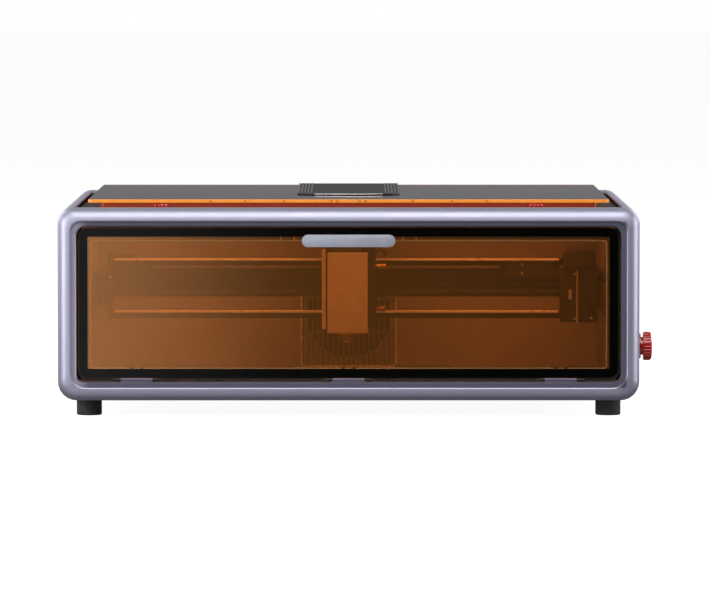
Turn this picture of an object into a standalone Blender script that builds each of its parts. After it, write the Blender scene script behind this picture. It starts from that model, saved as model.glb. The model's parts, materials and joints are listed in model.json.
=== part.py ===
"""Desktop laser cutter: an enclosed diode machine with a drop-down front door and a lift-up lid.

Every place below is given in the machine's own frame: x from the case's mid-plane, y back from the
front rim and z up from the table. The whole machine hangs on one empty, so the world frame has its
origin under the middle of the overall box, with the front facing -Y.
"""
import math

import bmesh
import bpy
from mathutils import Matrix, Vector

MM = 0.001
CLEARANCE = 0.3 * MM

# Case
CASE_WIDTH = 568 * MM
CASE_DEPTH = 470 * MM
CASE_BOTTOM = 15.7 * MM
CASE_TOP = 204 * MM
TOP_CORNER = 15 * MM
BOTTOM_CORNER = 18.5 * MM
SHEET = 2.0 * MM
BEZEL_DEPTH = 22 * MM
BEZEL_RIM = 18.4 * MM
BEAD_RADIUS = 12 * MM
BEZEL_LAND = 13.4 * MM
REAR_RIM_DEPTH = 22 * MM
REAR_PANEL_FRONT = 465 * MM
REAR_PANEL_INSET = 6.6 * MM
REAR_PANEL_CORNER = 15 * MM
SERVICE_PANEL_LEFT = 120 * MM
TOP_OPENING_HALF = 267.7 * MM
BOTTOM_FLANGE_HALF = 240 * MM
FOOT_RADIUS = 12.4 * MM
FOOT_HEIGHT = 15.4 * MM
FOOT_CHAMFER = 1.0 * MM
FOOT_X = 254.3 * MM
FOOT_FRONT_Y = 37 * MM
FOOT_REAR_Y = 430 * MM

# Front door, hinged along its lower edge
DOOR_AXIS_Y = 8.6 * MM
DOOR_AXIS_Z = 36.3 * MM
DOOR_PIN_RADIUS = 0.9 * MM
DOOR_BORE_RADIUS = 1.2 * MM
DOOR_KNUCKLE_RADIUS = 1.6 * MM
DOOR_TAB_WIDTH = 31 * MM
DOOR_TABS_X = (-207 * MM, 0.0, 207 * MM)
DOOR_PANEL_HALF_WIDTH = 263.2 * MM
DOOR_PANEL_BOTTOM = 38.2 * MM
DOOR_PANEL_TOP = 184.6 * MM
DOOR_PANEL_FRONT = 7.0 * MM
DOOR_PANEL_THICKNESS = 3.0 * MM
DOOR_FRAME_HALF_WIDTH = 264.4 * MM
DOOR_FRAME_BOTTOM = 34.9 * MM
DOOR_FRAME_TOP = 184.9 * MM
DOOR_FRAME_RIM = 13 * MM
DOOR_FRAME_CORNER = 10 * MM
DOOR_FRAME_FRONT = 10.3 * MM
DOOR_FRAME_BACK = 13.2 * MM
DOOR_BORE_LENGTH = 508 * MM
DOOR_PIN_LENGTH = 462 * MM
HANDLE_LENGTH = 91 * MM
HANDLE_HEIGHT = 12 * MM
HANDLE_Z = 172 * MM
HANDLE_FRONT = 2.4 * MM

# Lid, hinged along its rear edge
LID_HALF_WIDTH = 255 * MM
LID_FRONT = 30 * MM
LID_REAR = 413 * MM
LID_TOP = 211.5 * MM
LID_SHEET = 3.6 * MM
SKIRT_HALF_WIDTH = 243 * MM
SKIRT_BOTTOM = 200 * MM
SKIRT_WALL = 3 * MM
LID_AXIS_Y = 419 * MM
LID_AXIS_Z = 207.8 * MM
LID_BARREL_RADIUS = 3.2 * MM
LID_PIN_RADIUS = 1.4 * MM
LID_HINGES_X = (-170 * MM, 170 * MM)
LID_HOOP_DEPTH = 380 * MM
LID_HOOP_MIDDLE = 221 * MM
TOP_COVER_FRONT = 423.5 * MM
CAMERA_Y = 290 * MM
CAMERA_HOLE_RADIUS = 8.6 * MM
CAMERA_COVER_HALF = 51 * MM
CAMERA_COVER_FRONT = 150 * MM
CAMERA_COVER_REAR = 412.6 * MM
CAMERA_COVER_BOW = 20 * MM

# Gantry, running front to back on two side rails
BEAM_LEFT = -238 * MM
BEAM_RIGHT = 213 * MM
BEAM_FRONT = 215 * MM
BEAM_BACK = 235 * MM
BEAM_BOTTOM = 106 * MM
BEAM_TOP = 144 * MM
SIDE_RAIL_INNER = 251 * MM
SIDE_RAIL_OUTER = 259.7 * MM
SIDE_RAIL_BOTTOM = 96 * MM
SIDE_RAIL_TOP = 120 * MM
SHAFT_Y = 268 * MM
SHAFT_Z = 127.3 * MM
SHAFT_RADIUS = 2.5 * MM
SHAFT_BORE_RADIUS = 3.0 * MM
SHAFT_PULLEY_RADIUS = 5.5 * MM
X_PULLEY_RADIUS = 6.0 * MM
X_BELT_Y = 243.5 * MM
X_DRIVE_X = 228 * MM
X_IDLER_X = -226 * MM
X_BELT_BOTTOM = 136.5 * MM
X_BELT_WIDTH = 6 * MM

# Exhaust and the two round fans
EXHAUST_Z = 74 * MM
DUCT_RADIUS = 44 * MM
GRILLE_WIDTH = 100 * MM
GRILLE_HEIGHT = 108 * MM
GRILLE_BORDER = 2 * MM
GRILLE_DEPTH = 2.8 * MM
GRILLE_COLUMNS = 18
GRILLE_ROWS = 3
FAN_FRAME_HALF = 46 * MM
FAN_BORE_RADIUS = 42.5 * MM

# Laser head
HEAD_X = -1.0 * MM
HEAD_Y = 184 * MM
COVER_BOTTOM = 71.6 * MM
COVER_TOP = 152.8 * MM
HEATSINK_BOTTOM = 76 * MM
HEATSINK_TOP = 150 * MM
FIN_PITCH = 7.4
FIN_GAP = 3.6
FIN_COUNT = 6
FOCUS_KNOB_Z = 96 * MM

# Emergency stop button on the right-hand side
ESTOP_Y = 60 * MM
ESTOP_Z = 66 * MM
ESTOP_HOLE_RADIUS = 4.6 * MM
ESTOP_REACH = 14 * MM

# Mains inlet and rocker switch on the back
INLET_X = 200 * MM
INLET_Z = 47 * MM
ROCKER_X = 245 * MM
ROCKER_PIVOT_Y = 463.5 * MM

# Overall box: the button stands out on the right and the exhaust collar at the back
COLLAR_REACH = 22 * MM
MID_X = -ESTOP_REACH / 2
FRONT_Y = -(CASE_DEPTH + COLLAR_REACH) / 2

CORNER_STEPS = 6
ROUND_STEPS = 32
SMALL_STEPS = 16

AXIS_TURNS = {
    "X": Matrix.Rotation(math.radians(90), 4, "Y"),
    "Y": Matrix.Rotation(math.radians(-90), 4, "X"),
    "Z": Matrix.Identity(4),
}


# ---------------------------------------------------------------- scene helpers

def clear_scene():
    for obj in list(bpy.data.objects):
        bpy.data.objects.remove(obj, do_unlink=True)


def linear(channel):
    if channel <= 0.04045:
        return channel / 12.92
    return ((channel + 0.055) / 1.055) ** 2.4


def material(name, colour, roughness, metallic=0.0, alpha=1.0):
    """A plain Principled material from an sRGB hex colour."""
    made = bpy.data.materials.new(name)
    made.use_nodes = True
    shader = made.node_tree.nodes["Principled BSDF"]
    red, green, blue = (int(colour[i:i + 2], 16) / 255 for i in (0, 2, 4))
    shader.inputs["Base Color"].default_value = (linear(red), linear(green), linear(blue), 1.0)
    shader.inputs["Roughness"].default_value = roughness
    shader.inputs["Metallic"].default_value = metallic
    shader.inputs["Alpha"].default_value = alpha
    return made


def make_materials():
    return {
        "case": material("case_lilac_silver", "A5A4B8", 0.35, 0.4),
        "liner": material("grey_painted_steel", "7C7C7E", 0.6, 0.0),
        "black_coat": material("black_painted_steel", "1E1E20", 0.55, 0.0),
        "tray": material("bare_steel_tray", "5A5856", 0.45, 0.8),
        "acrylic": material("orange_acrylic", "D9751E", 0.12, 0.0, 0.6),
        "handle": material("lilac_aluminium", "969AA5", 0.35, 0.7),
        "black": material("black_plastic", "1E1E20", 0.45),
        "rubber": material("black_rubber", "2A2A2A", 0.85),
        "dark_aluminium": material("black_anodised_aluminium", "2E2D2C", 0.4, 0.8),
        "cover": material("satin_aluminium_cover", "B8B4B2", 0.5, 0.3),
        "steel": material("steel", "B4B4B4", 0.3, 1.0),
        "brass": material("brass", "C99A4A", 0.3, 1.0),
        "belt": material("belt_rubber", "171717", 0.8),
        "red": material("red_gloss_plastic", "C2261C", 0.2),
    }


def make_empty(name, at, parent=None):
    """An empty on a joint's axis, or the one that carries the whole machine."""
    empty = bpy.data.objects.new(name, None)
    empty.empty_display_size = 0.02
    bpy.context.collection.objects.link(empty)
    seat(empty, at, parent)
    return empty


def place_in_machine(obj):
    """Where an empty sits in the machine's frame, adding up the empties above it."""
    total = Vector((0.0, 0.0, 0.0))
    while obj is not None and obj.parent is not None:
        total += obj.location
        obj = obj.parent
    return total


def seat(obj, at, parent):
    if parent is None:
        obj.location = at
        return
    obj.parent = parent
    obj.location = Vector(at) - place_in_machine(parent)


def as_object(name, shape, at, parent, finish=None):
    """Turns a bmesh made about its own origin into an object. Without a finish it is a tool shape."""
    bmesh.ops.recalc_face_normals(shape, faces=shape.faces)
    mesh = bpy.data.meshes.new(name)
    shape.to_mesh(mesh)
    shape.free()
    mesh.shade_smooth()
    mesh.set_sharp_from_angle(angle=math.radians(35))
    obj = bpy.data.objects.new(name, mesh)
    bpy.context.collection.objects.link(obj)
    seat(obj, at, parent)
    if finish is None:
        obj.hide_render = True
        obj.display_type = "WIRE"
    else:
        mesh.materials.append(finish)
    return obj


def boolean(obj, tool, operation):
    step = obj.modifiers.new(operation.lower() + "_" + tool.name, "BOOLEAN")
    step.operation = operation
    step.solver = "EXACT"
    step.object = tool


def cut(obj, *tools):
    for tool in tools:
        boolean(obj, tool, "DIFFERENCE")


def unite(obj, *tools):
    for tool in tools:
        boolean(obj, tool, "UNION")


# ---------------------------------------------------------------- shape helpers

def slab(name, low, high, parent, finish=None, bevel=0.0):
    """A rectangular piece between two corners, in millimetres."""
    low = Vector(low) * MM
    high = Vector(high) * MM
    size = high - low
    shape = bmesh.new()
    bmesh.ops.create_cube(shape, size=1.0)
    bmesh.ops.scale(shape, vec=size, verts=shape.verts)
    if bevel:
        bmesh.ops.bevel(shape, geom=shape.edges[:], offset=bevel * MM, segments=2, profile=0.5,
                        affect="EDGES", clamp_overlap=True, material=-1)
    return as_object(name, shape, (low + high) / 2, parent, finish)


def rod(name, centre, length, radius, axis, parent, finish=None, steps=SMALL_STEPS):
    """A round bar about its centre, along one axis, in metres."""
    shape = bmesh.new()
    bmesh.ops.create_cone(shape, cap_ends=True, segments=steps, radius1=radius, radius2=radius,
                          depth=length)
    bmesh.ops.transform(shape, matrix=AXIS_TURNS[axis], verts=shape.verts)
    return as_object(name, shape, centre, parent, finish)


def turned(name, profile, origin, axis, parent, finish=None, steps=ROUND_STEPS, closed=False):
    """A turned piece. The profile lists (distance along the axis, radius) in millimetres."""
    shape = bmesh.new()
    points = [shape.verts.new((radius * MM, 0.0, along * MM)) for along, radius in profile]
    edges = [shape.edges.new(pair) for pair in zip(points, points[1:])]
    if closed:
        edges.append(shape.edges.new((points[-1], points[0])))
    bmesh.ops.spin(shape, geom=points + edges, cent=(0, 0, 0), axis=(0, 0, 1), steps=steps,
                   angle=math.radians(360), use_merge=True)
    bmesh.ops.remove_doubles(shape, verts=shape.verts, dist=1e-6)
    bmesh.ops.transform(shape, matrix=AXIS_TURNS[axis], verts=shape.verts)
    return as_object(name, shape, origin, parent, finish)


def rounded_outline(half_width, half_height, upper_radius, lower_radius=None, steps=CORNER_STEPS):
    """The corners of a rounded rectangle, anticlockwise from the lower right."""
    corners = ((1, -1, -90), (1, 1, 0), (-1, 1, 90), (-1, -1, 180))
    points = []
    for side, end, start in corners:
        radius = upper_radius if end > 0 or lower_radius is None else lower_radius
        centre = Vector((side * (half_width - radius), end * (half_height - radius)))
        for step in range(steps + 1):
            angle = math.radians(start + 90 * step / steps)
            points.append(centre + radius * Vector((math.cos(angle), math.sin(angle))))
    return points


def standing(point, depth):
    """A point of an upright outline: across, up, at a depth."""
    return Vector((point[0], depth, point[1]))


def lying(point, height):
    """A point of a flat outline: across, back, at a height."""
    return Vector((point[0], point[1], height))


def sideways(point, across):
    """A point of an outline seen from the side: back, up, at a place across."""
    return Vector((across, point[0], point[1]))


def extruded(name, outline, start, end, lay, at, parent, finish=None):
    """An outline given its thickness. lay turns an outline point and a level into space."""
    shape = bmesh.new()
    face = shape.faces.new([shape.verts.new(lay(point, start)) for point in outline])
    grown = bmesh.ops.extrude_face_region(shape, geom=[face])
    moved = [item for item in grown["geom"] if isinstance(item, bmesh.types.BMVert)]
    along = lay((0.0, 0.0), end) - lay((0.0, 0.0), start)
    bmesh.ops.translate(shape, vec=along, verts=moved)
    return as_object(name, shape, at, parent, finish)


def shrinking(upper, lower, rate=0.75):
    """Corner radii that shrink at an even rate with the inset."""
    return lambda inset: (upper - rate * inset, lower - rate * inset)


def swept_ring(name, profile, half_width, half_height, corners, lay, at, parent, finish=None):
    """A closed profile of (inset, level) carried round a rounded rectangle. corners gives its radii."""
    shape = bmesh.new()

    def ring(inset, level):
        upper, lower = (max(radius, 1.0 * MM) for radius in corners(inset))
        outline = rounded_outline(half_width - inset, half_height - inset, upper, lower)
        return [lay(point, level) for point in outline]

    current = [shape.verts.new(place) for place in ring(*profile[0])]
    edges = [shape.edges.new(pair) for pair in zip(current, current[1:] + current[:1])]
    for inset, level in profile[1:] + profile[:1]:
        grown = bmesh.ops.extrude_edge_only(shape, edges=edges)["geom"]
        edges = [item for item in grown if isinstance(item, bmesh.types.BMEdge)]
        fresh = {item for item in grown if isinstance(item, bmesh.types.BMVert)}
        current = [twin_of(vert, fresh) for vert in current]
        for vert, place in zip(current, ring(inset, level)):
            vert.co = place
    bmesh.ops.remove_doubles(shape, verts=shape.verts, dist=1e-6)
    return as_object(name, shape, at, parent, finish)


def twin_of(vert, fresh):
    """The new end of the edge that an extrusion grew from this point."""
    return next(edge.other_vert(vert) for edge in vert.link_edges if edge.other_vert(vert) in fresh)


def arc_points(centre, radii, start, end, steps):
    """Points along an ellipse's arc, its angles in degrees."""
    points = []
    for step in range(steps + 1):
        angle = math.radians(start + (end - start) * step / steps)
        points.append((centre[0] + radii[0] * math.cos(angle), centre[1] + radii[1] * math.sin(angle)))
    return points


# ---------------------------------------------------------------- case

def bezel_corners(inset):
    """The lower corners tighten behind the land, so that the open door's corners clear them."""
    behind_land = max(inset - BEZEL_LAND, 0)
    return TOP_CORNER - 0.3 * inset, BOTTOM_CORNER - 0.3 * inset - 1.3 * behind_land


def front_bezel(machine, finish):
    bead = arc_points((BEAD_RADIUS, BEAD_RADIUS), (BEAD_RADIUS, BEAD_RADIUS), 180, 270, 9)
    land = [(12.9 * MM, 0.6 * MM), (BEZEL_LAND, 2.0 * MM), (17.2 * MM, 2.2 * MM), (18.2 * MM, 3.4 * MM),
            (BEZEL_RIM, 5 * MM), (BEZEL_RIM, BEZEL_DEPTH)]
    inside = [(BEZEL_RIM - 2.2 * MM, BEZEL_DEPTH), (BEZEL_RIM - 2.2 * MM, 5.0 * MM), (11 * MM, 4.0 * MM),
              (4.6 * MM, 9 * MM), (2.2 * MM, 13 * MM), (2.2 * MM, BEZEL_DEPTH)]
    profile = [(0.0, BEZEL_DEPTH)] + bead + land + inside
    bezel = swept_ring("front_bezel", profile, CASE_WIDTH / 2, (CASE_TOP - CASE_BOTTOM) / 2, bezel_corners,
                       standing, (0, 0, (CASE_TOP + CASE_BOTTOM) / 2), machine, finish)
    for count, x in enumerate(DOOR_TABS_X):
        middle = x / MM
        half = DOOR_TAB_WIDTH / MM / 2
        neck = slab(f"tool_tab_neck_{count}", (middle - half + 0.2, 7.4, 32.6),
                    (middle + half - 0.2, 9.8, 36.3),
                    machine)
        knuckle = rod(f"tool_tab_knuckle_{count}", (x, DOOR_AXIS_Y, DOOR_AXIS_Z), DOOR_TAB_WIDTH,
                      DOOR_KNUCKLE_RADIUS, "X", machine)
        unite(bezel, neck, knuckle)
    bore = rod("tool_tab_bore", (0, DOOR_AXIS_Y, DOOR_AXIS_Z), DOOR_BORE_LENGTH, DOOR_BORE_RADIUS, "X",
               machine)
    cut(bezel, bore)
    return bezel


def case_section(side):
    """A side shell's cross-section: a C with two round corners, for one side of the case."""
    outer = []
    inner = []
    half = CASE_WIDTH / 2
    for radius, centre_z, start in ((BOTTOM_CORNER, CASE_BOTTOM + BOTTOM_CORNER, -90),
                                    (TOP_CORNER, CASE_TOP - TOP_CORNER, 0)):
        outer += arc_points((half - radius, centre_z), (radius, radius), start, start + 90, CORNER_STEPS)
        inner += arc_points((half - radius, centre_z), (radius - SHEET, radius - SHEET), start,
                            start + 90,
                            CORNER_STEPS)
    points = [(BOTTOM_FLANGE_HALF, CASE_BOTTOM)] + outer + [(TOP_OPENING_HALF, CASE_TOP)]
    points += [(TOP_OPENING_HALF, CASE_TOP - SHEET)] + inner[::-1] + [(BOTTOM_FLANGE_HALF,
                                                                       CASE_BOTTOM + SHEET)]
    return [(side * x, z) for x, z in points]


def side_shells(machine, finish):
    start = BEZEL_DEPTH + CLEARANCE
    end = CASE_DEPTH - REAR_RIM_DEPTH - CLEARANCE
    for side, name in ((-1, "left_side_shell"), (1, "right_side_shell")):
        shell = extruded(name, case_section(side), start, end, standing, (0, 0, 0), machine, finish)
        if side > 0:
            hole = rod("tool_estop_hole", (CASE_WIDTH / 2, ESTOP_Y, ESTOP_Z), 10 * MM, ESTOP_HOLE_RADIUS,
                       "X", machine)
            cut(shell, hole)


def rear_rim(machine, finish):
    rounding = [(6 * MM - 6 * MM * math.cos(math.radians(turn)),
                 464 * MM + 6 * MM * math.sin(math.radians(turn)))
                for turn in (0, 22.5, 45, 67.5, 90)]
    profile = [(0.0, CASE_DEPTH - REAR_RIM_DEPTH)] + rounding
    profile += [(9 * MM, CASE_DEPTH), (9 * MM, 467.8 * MM), (6 * MM, 467.8 * MM), (2.2 * MM, 464 * MM),
                (2.2 * MM, CASE_DEPTH - REAR_RIM_DEPTH)]
    corners = shrinking(TOP_CORNER, BOTTOM_CORNER)
    middle = (CASE_TOP + CASE_BOTTOM) / 2
    swept_ring("rear_frame", profile, CASE_WIDTH / 2, (CASE_TOP - CASE_BOTTOM) / 2, corners, standing,
               (0, 0, middle), machine, finish)


def rear_panels(machine, finish):
    """Two plates side by side: a long one with the exhaust duct and a short one with the mains fittings."""
    half = CASE_WIDTH / 2 - REAR_PANEL_INSET
    middle = (CASE_TOP + CASE_BOTTOM) / 2
    spans = {"rear_duct_panel": (-half, SERVICE_PANEL_LEFT - CLEARANCE),
             "rear_service_panel": (SERVICE_PANEL_LEFT, half)}
    for name, (left, right) in spans.items():
        outline = rounded_outline(half, (CASE_TOP - CASE_BOTTOM) / 2 - REAR_PANEL_INSET,
                                  REAR_PANEL_CORNER)
        kept = [Vector((min(max(point.x, left), right), point.y)) for point in outline]
        extruded(name, without_repeats(kept), REAR_PANEL_FRONT, REAR_PANEL_FRONT + SHEET, standing,
                 (0, 0, middle),
                 machine, finish)
    duct = rod("tool_rear_duct", (0, REAR_PANEL_FRONT, EXHAUST_Z), 20 * MM, DUCT_RADIUS + 2.5 * MM, "Y",
               machine,
               steps=ROUND_STEPS)
    cut(bpy.data.objects["rear_duct_panel"], duct)
    inlet = slab("tool_inlet_hole", (INLET_X / MM - 14, 455, INLET_Z / MM - 10.5),
                 (INLET_X / MM + 14, 480, INLET_Z / MM + 10.5), machine)
    rocker = slab("tool_rocker_hole", (ROCKER_X / MM - 9.6, 455, INLET_Z / MM - 11.5),
                  (ROCKER_X / MM + 9.6, 480, INLET_Z / MM + 11.5), machine)
    cut(bpy.data.objects["rear_service_panel"], inlet, rocker)


def without_repeats(points):
    """An outline without the points that fell on the one before."""
    return [point for count, point in enumerate(points) if (point - points[count - 1]).length > 1e-6]


def inner_sheets(machine, finish):
    slab("base_pan", (-239.7, 22.3, 15.7), (239.7, 447.7, 17.7), machine, finish["case"])
    for side, name in ((-1, "left_liner"), (1, "right_liner")):
        inner, outer = sorted((side * 260.2, side * 261.7))
        slab(name, (inner, 24, 18.2), (outer, 447, 196.9), machine, finish["liner"])
    wall = slab("inner_rear_wall", (-259.9, 437, 20.3), (259.9, 438.5, 196.9), machine, finish["liner"])
    duct = rod("tool_wall_duct", (0, 438 * MM, EXHAUST_Z), 20 * MM, DUCT_RADIUS, "Y", machine,
               steps=ROUND_STEPS)
    cut(wall, duct)
    tray = rounded_outline(236 * MM, 197 * MM, 6 * MM, steps=3)
    extruded("bed_tray", tray, 18.0 * MM, 19.8 * MM, lying, (0, 231 * MM, 0), machine, finish["tray"])


def lid_seat(machine, finish):
    seat_frame = slab("lid_seat_frame", (-267.4, 22.5, 197.2), (267.4, 447.5, 199.2), machine, finish)
    opening = extruded("tool_top_opening", rounded_outline(236 * MM, 176 * MM, 6 * MM, steps=3), 190 * MM,
                       205 * MM,
                       lying, (0, 222 * MM, 0), machine)
    cut(seat_frame, opening)


def feet(machine, finish):
    places = {"front": FOOT_FRONT_Y, "rear": FOOT_REAR_Y}
    radius = FOOT_RADIUS / MM
    chamfer = FOOT_CHAMFER / MM
    height = FOOT_HEIGHT / MM
    profile = [(0, 0), (0, radius - chamfer), (chamfer, radius), (height, radius), (height, 0)]
    for row, y in places.items():
        for side, word in ((-1, "left"), (1, "right")):
            turned(f"foot_{row}_{word}", profile, (side * FOOT_X, y, 0), "Z", machine, finish, steps=24)


# ---------------------------------------------------------------- front door

def door(axis, finish):
    width = DOOR_PANEL_HALF_WIDTH
    half_height = (DOOR_PANEL_TOP - DOOR_PANEL_BOTTOM) / 2
    middle = (DOOR_PANEL_TOP + DOOR_PANEL_BOTTOM) / 2
    extruded("door_panel", rounded_outline(width, half_height, 9 * MM), DOOR_PANEL_FRONT,
             DOOR_PANEL_FRONT + DOOR_PANEL_THICKNESS, standing, (0, 0, middle), axis, finish["acrylic"])
    door_frame(axis, finish["case"])
    outline = rounded_outline(HANDLE_LENGTH / 2, HANDLE_HEIGHT / 2, HANDLE_HEIGHT / 2 - 1e-5)
    pill = extruded("door_handle", outline, HANDLE_FRONT, DOOR_PANEL_FRONT - CLEARANCE, standing,
                    (0, 0, HANDLE_Z), axis, finish["handle"])
    edge = pill.modifiers.new("soft_edge", "BEVEL")
    edge.width = 1.0 * MM
    edge.segments = 2


def door_frame(axis, finish):
    """The metal frame behind the acrylic, with the knuckles that turn on the hinge pin."""
    profile = [(0.0, DOOR_FRAME_FRONT), (DOOR_FRAME_RIM, DOOR_FRAME_FRONT),
               (DOOR_FRAME_RIM, DOOR_FRAME_BACK),
               (0.0, DOOR_FRAME_BACK)]
    half_height = (DOOR_FRAME_TOP - DOOR_FRAME_BOTTOM) / 2
    middle_z = (DOOR_FRAME_TOP + DOOR_FRAME_BOTTOM) / 2
    corners = shrinking(DOOR_FRAME_CORNER, DOOR_FRAME_CORNER)
    frame = swept_ring("door_frame", profile, DOOR_FRAME_HALF_WIDTH, half_height, corners,
                       standing, (0, 0, middle_z), axis, finish)
    for count, x in enumerate(DOOR_TABS_X):
        middle = x / MM
        half = DOOR_TAB_WIDTH / MM / 2
        notch = slab(f"tool_door_notch_{count}", (middle - half - 0.6, 9, 30),
                     (middle + half + 0.6, 15, 39.4), axis)
        cut(frame, notch)
        for side in (-1, 1):
            centre = middle + side * (half + 3.8)
            arm = slab(f"tool_door_arm_{count}_{side}", (centre - 2.8, 8.9, 35.3),
                       (centre + 2.8, 11.5, 37.1), axis)
            knuckle = rod(f"tool_door_knuckle_{count}_{side}", (centre * MM, DOOR_AXIS_Y, DOOR_AXIS_Z),
                          6 * MM,
                          DOOR_KNUCKLE_RADIUS, "X", axis)
            unite(frame, arm, knuckle)
    bore = rod("tool_door_bore", (0, DOOR_AXIS_Y, DOOR_AXIS_Z), DOOR_BORE_LENGTH, DOOR_BORE_RADIUS, "X",
               axis)
    cut(frame, bore)


def door_hinge_pin(machine, finish):
    rod("door_hinge_pin", (0, DOOR_AXIS_Y, DOOR_AXIS_Z), DOOR_PIN_LENGTH, DOOR_PIN_RADIUS, "X", machine,
        finish, steps=10)


# ---------------------------------------------------------------- lid

def lid(axis, finish):
    depth = (LID_REAR - LID_FRONT) / 2
    middle = (LID_REAR + LID_FRONT) / 2
    sheet = extruded("lid_sheet", rounded_outline(LID_HALF_WIDTH, depth, 4 * MM, steps=3),
                     LID_TOP - LID_SHEET,
                     LID_TOP, lying, (0, middle, 0), axis, finish["acrylic"])
    hole = rod("tool_camera_hole", (0, CAMERA_Y, LID_TOP), 20 * MM, CAMERA_HOLE_RADIUS, "Z", axis)
    cut(sheet, hole)
    top = LID_TOP - LID_SHEET - CLEARANCE
    profile = [(0.0, top), (SKIRT_WALL, top), (SKIRT_WALL, SKIRT_BOTTOM), (0.0, SKIRT_BOTTOM)]
    swept_ring("lid_skirt", profile, SKIRT_HALF_WIDTH, LID_HOOP_DEPTH / 2, shrinking(4 * MM, 4 * MM), lying,
               (0, LID_HOOP_MIDDLE, 0), axis, finish["acrylic"])
    camera_housing(axis, finish["black"])


def camera_housing(axis, finish):
    """The long black cover on the lid, and the camera that looks down through the sheet."""
    half = CAMERA_COVER_HALF
    outline = [(-half, CAMERA_COVER_REAR)]
    for angle in range(-60, 61, 15):
        across = half * math.sin(math.radians(angle)) / math.sin(math.radians(60))
        outline.append((across, CAMERA_COVER_FRONT - CAMERA_COVER_BOW * (1 - (angle / 60) ** 2)))
    outline.append((half, CAMERA_COVER_REAR))
    cover = extruded("camera_housing", outline[::-1], LID_TOP + CLEARANCE, LID_TOP + 1.3 * MM, lying,
                     (0, 0, 0),
                     axis, finish)
    stem = rod("tool_camera_stem", (0, CAMERA_Y, 209 * MM), 7 * MM, 8 * MM, "Z", axis)
    pod = slab("tool_camera_pod", (-22, 270, 193), (22, 310, 207.5), axis, bevel=2.0)
    unite(cover, stem, pod)


def lid_hinges(machine, axis, finish):
    for x, word in zip(LID_HINGES_X, ("left", "right")):
        middle = x / MM
        base = slab(f"lid_hinge_base_{word}", (middle - 20, 421.5, 204.3), (middle + 20, 439, 206.2),
                    machine, finish)
        for side in (-1, 1):
            barrel = rod(f"tool_base_barrel_{word}_{side}", (x + side * 14 * MM, LID_AXIS_Y, LID_AXIS_Z),
                         12 * MM,
                         LID_BARREL_RADIUS, "X", machine)
            unite(base, barrel)
        gap = slab(f"tool_leaf_gap_{word}", (middle - 8, 410, 200), (middle + 8, 423.4, 215), machine)
        cut(base, gap)
        pin = rod(f"tool_lid_pin_{word}", (x, LID_AXIS_Y, LID_AXIS_Z), 38 * MM, LID_PIN_RADIUS, "X",
                  machine)
        unite(base, pin)
        leaf = slab(f"lid_hinge_leaf_{word}", (middle - 16, 411.3, 200.5), (middle + 16, 412.9, 207.5),
                    axis, finish)
        arm = slab(f"tool_leaf_arm_{word}", (middle - 7.6, 412.0, 205.3), (middle + 7.6, 418, 207.3),
                   axis)
        knuckle = rod(f"tool_leaf_knuckle_{word}", (x, LID_AXIS_Y, LID_AXIS_Z), 15.2 * MM,
                      LID_BARREL_RADIUS, "X", axis)
        unite(leaf, arm, knuckle)
        bore = rod(f"tool_leaf_bore_{word}", (x, LID_AXIS_Y, LID_AXIS_Z), 20 * MM,
                   LID_PIN_RADIUS + CLEARANCE, "X",
                   axis)
        cut(leaf, bore)


def rear_cover(machine, finish):
    half = TOP_OPENING_HALF / MM - 0.3
    front = TOP_COVER_FRONT / MM
    top = CASE_TOP / MM
    slab("top_rear_cover", (-half, front, top - SHEET / MM), (half, 447.4, top), machine, finish)


# ---------------------------------------------------------------- motion system

def side_rails(machine, finish):
    near = SIDE_RAIL_INNER / MM
    far = SIDE_RAIL_OUTER / MM
    top = SIDE_RAIL_TOP / MM
    for side, word in ((-1, "left"), (1, "right")):
        low_x, high_x = sorted((side * near, side * far))
        slab(f"{word}_y_rail", (low_x, 28, SIDE_RAIL_BOTTOM / MM), (high_x, 434, top), machine,
             finish["dark_aluminium"], bevel=0.6)
        low_x, high_x = sorted((side * (near + 1), side * (far - 0.7)))
        slab(f"{word}_y_belt", (low_x, 32, top + 0.3), (high_x, 432, top + 1.5), machine, finish["belt"])


def gantry_beam(axis, finish):
    """A box-section beam with a shallow groove in front and a linear guide rail under the groove."""
    front = BEAM_FRONT / MM
    back = BEAM_BACK / MM
    low = BEAM_BOTTOM / MM
    high = BEAM_TOP / MM
    groove = [(front, 140.5), (front + 2, 138.5), (front + 2, 134.5), (front, 132.5)]
    nose = front - 7.8
    rail = [(front, 120), (nose, 120), (nose, 116.5), (nose + 1.2, 115), (nose + 1.2, 113), (nose, 111.5),
            (nose, 108), (front, 108)]
    outline = [(back, low), (back, high), (front, high)] + groove + rail + [(front, low)]
    extruded("gantry_beam", [(y * MM, z * MM) for y, z in outline], BEAM_LEFT, BEAM_RIGHT, sideways,
             (0, 0, 0), axis,
             finish)


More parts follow.
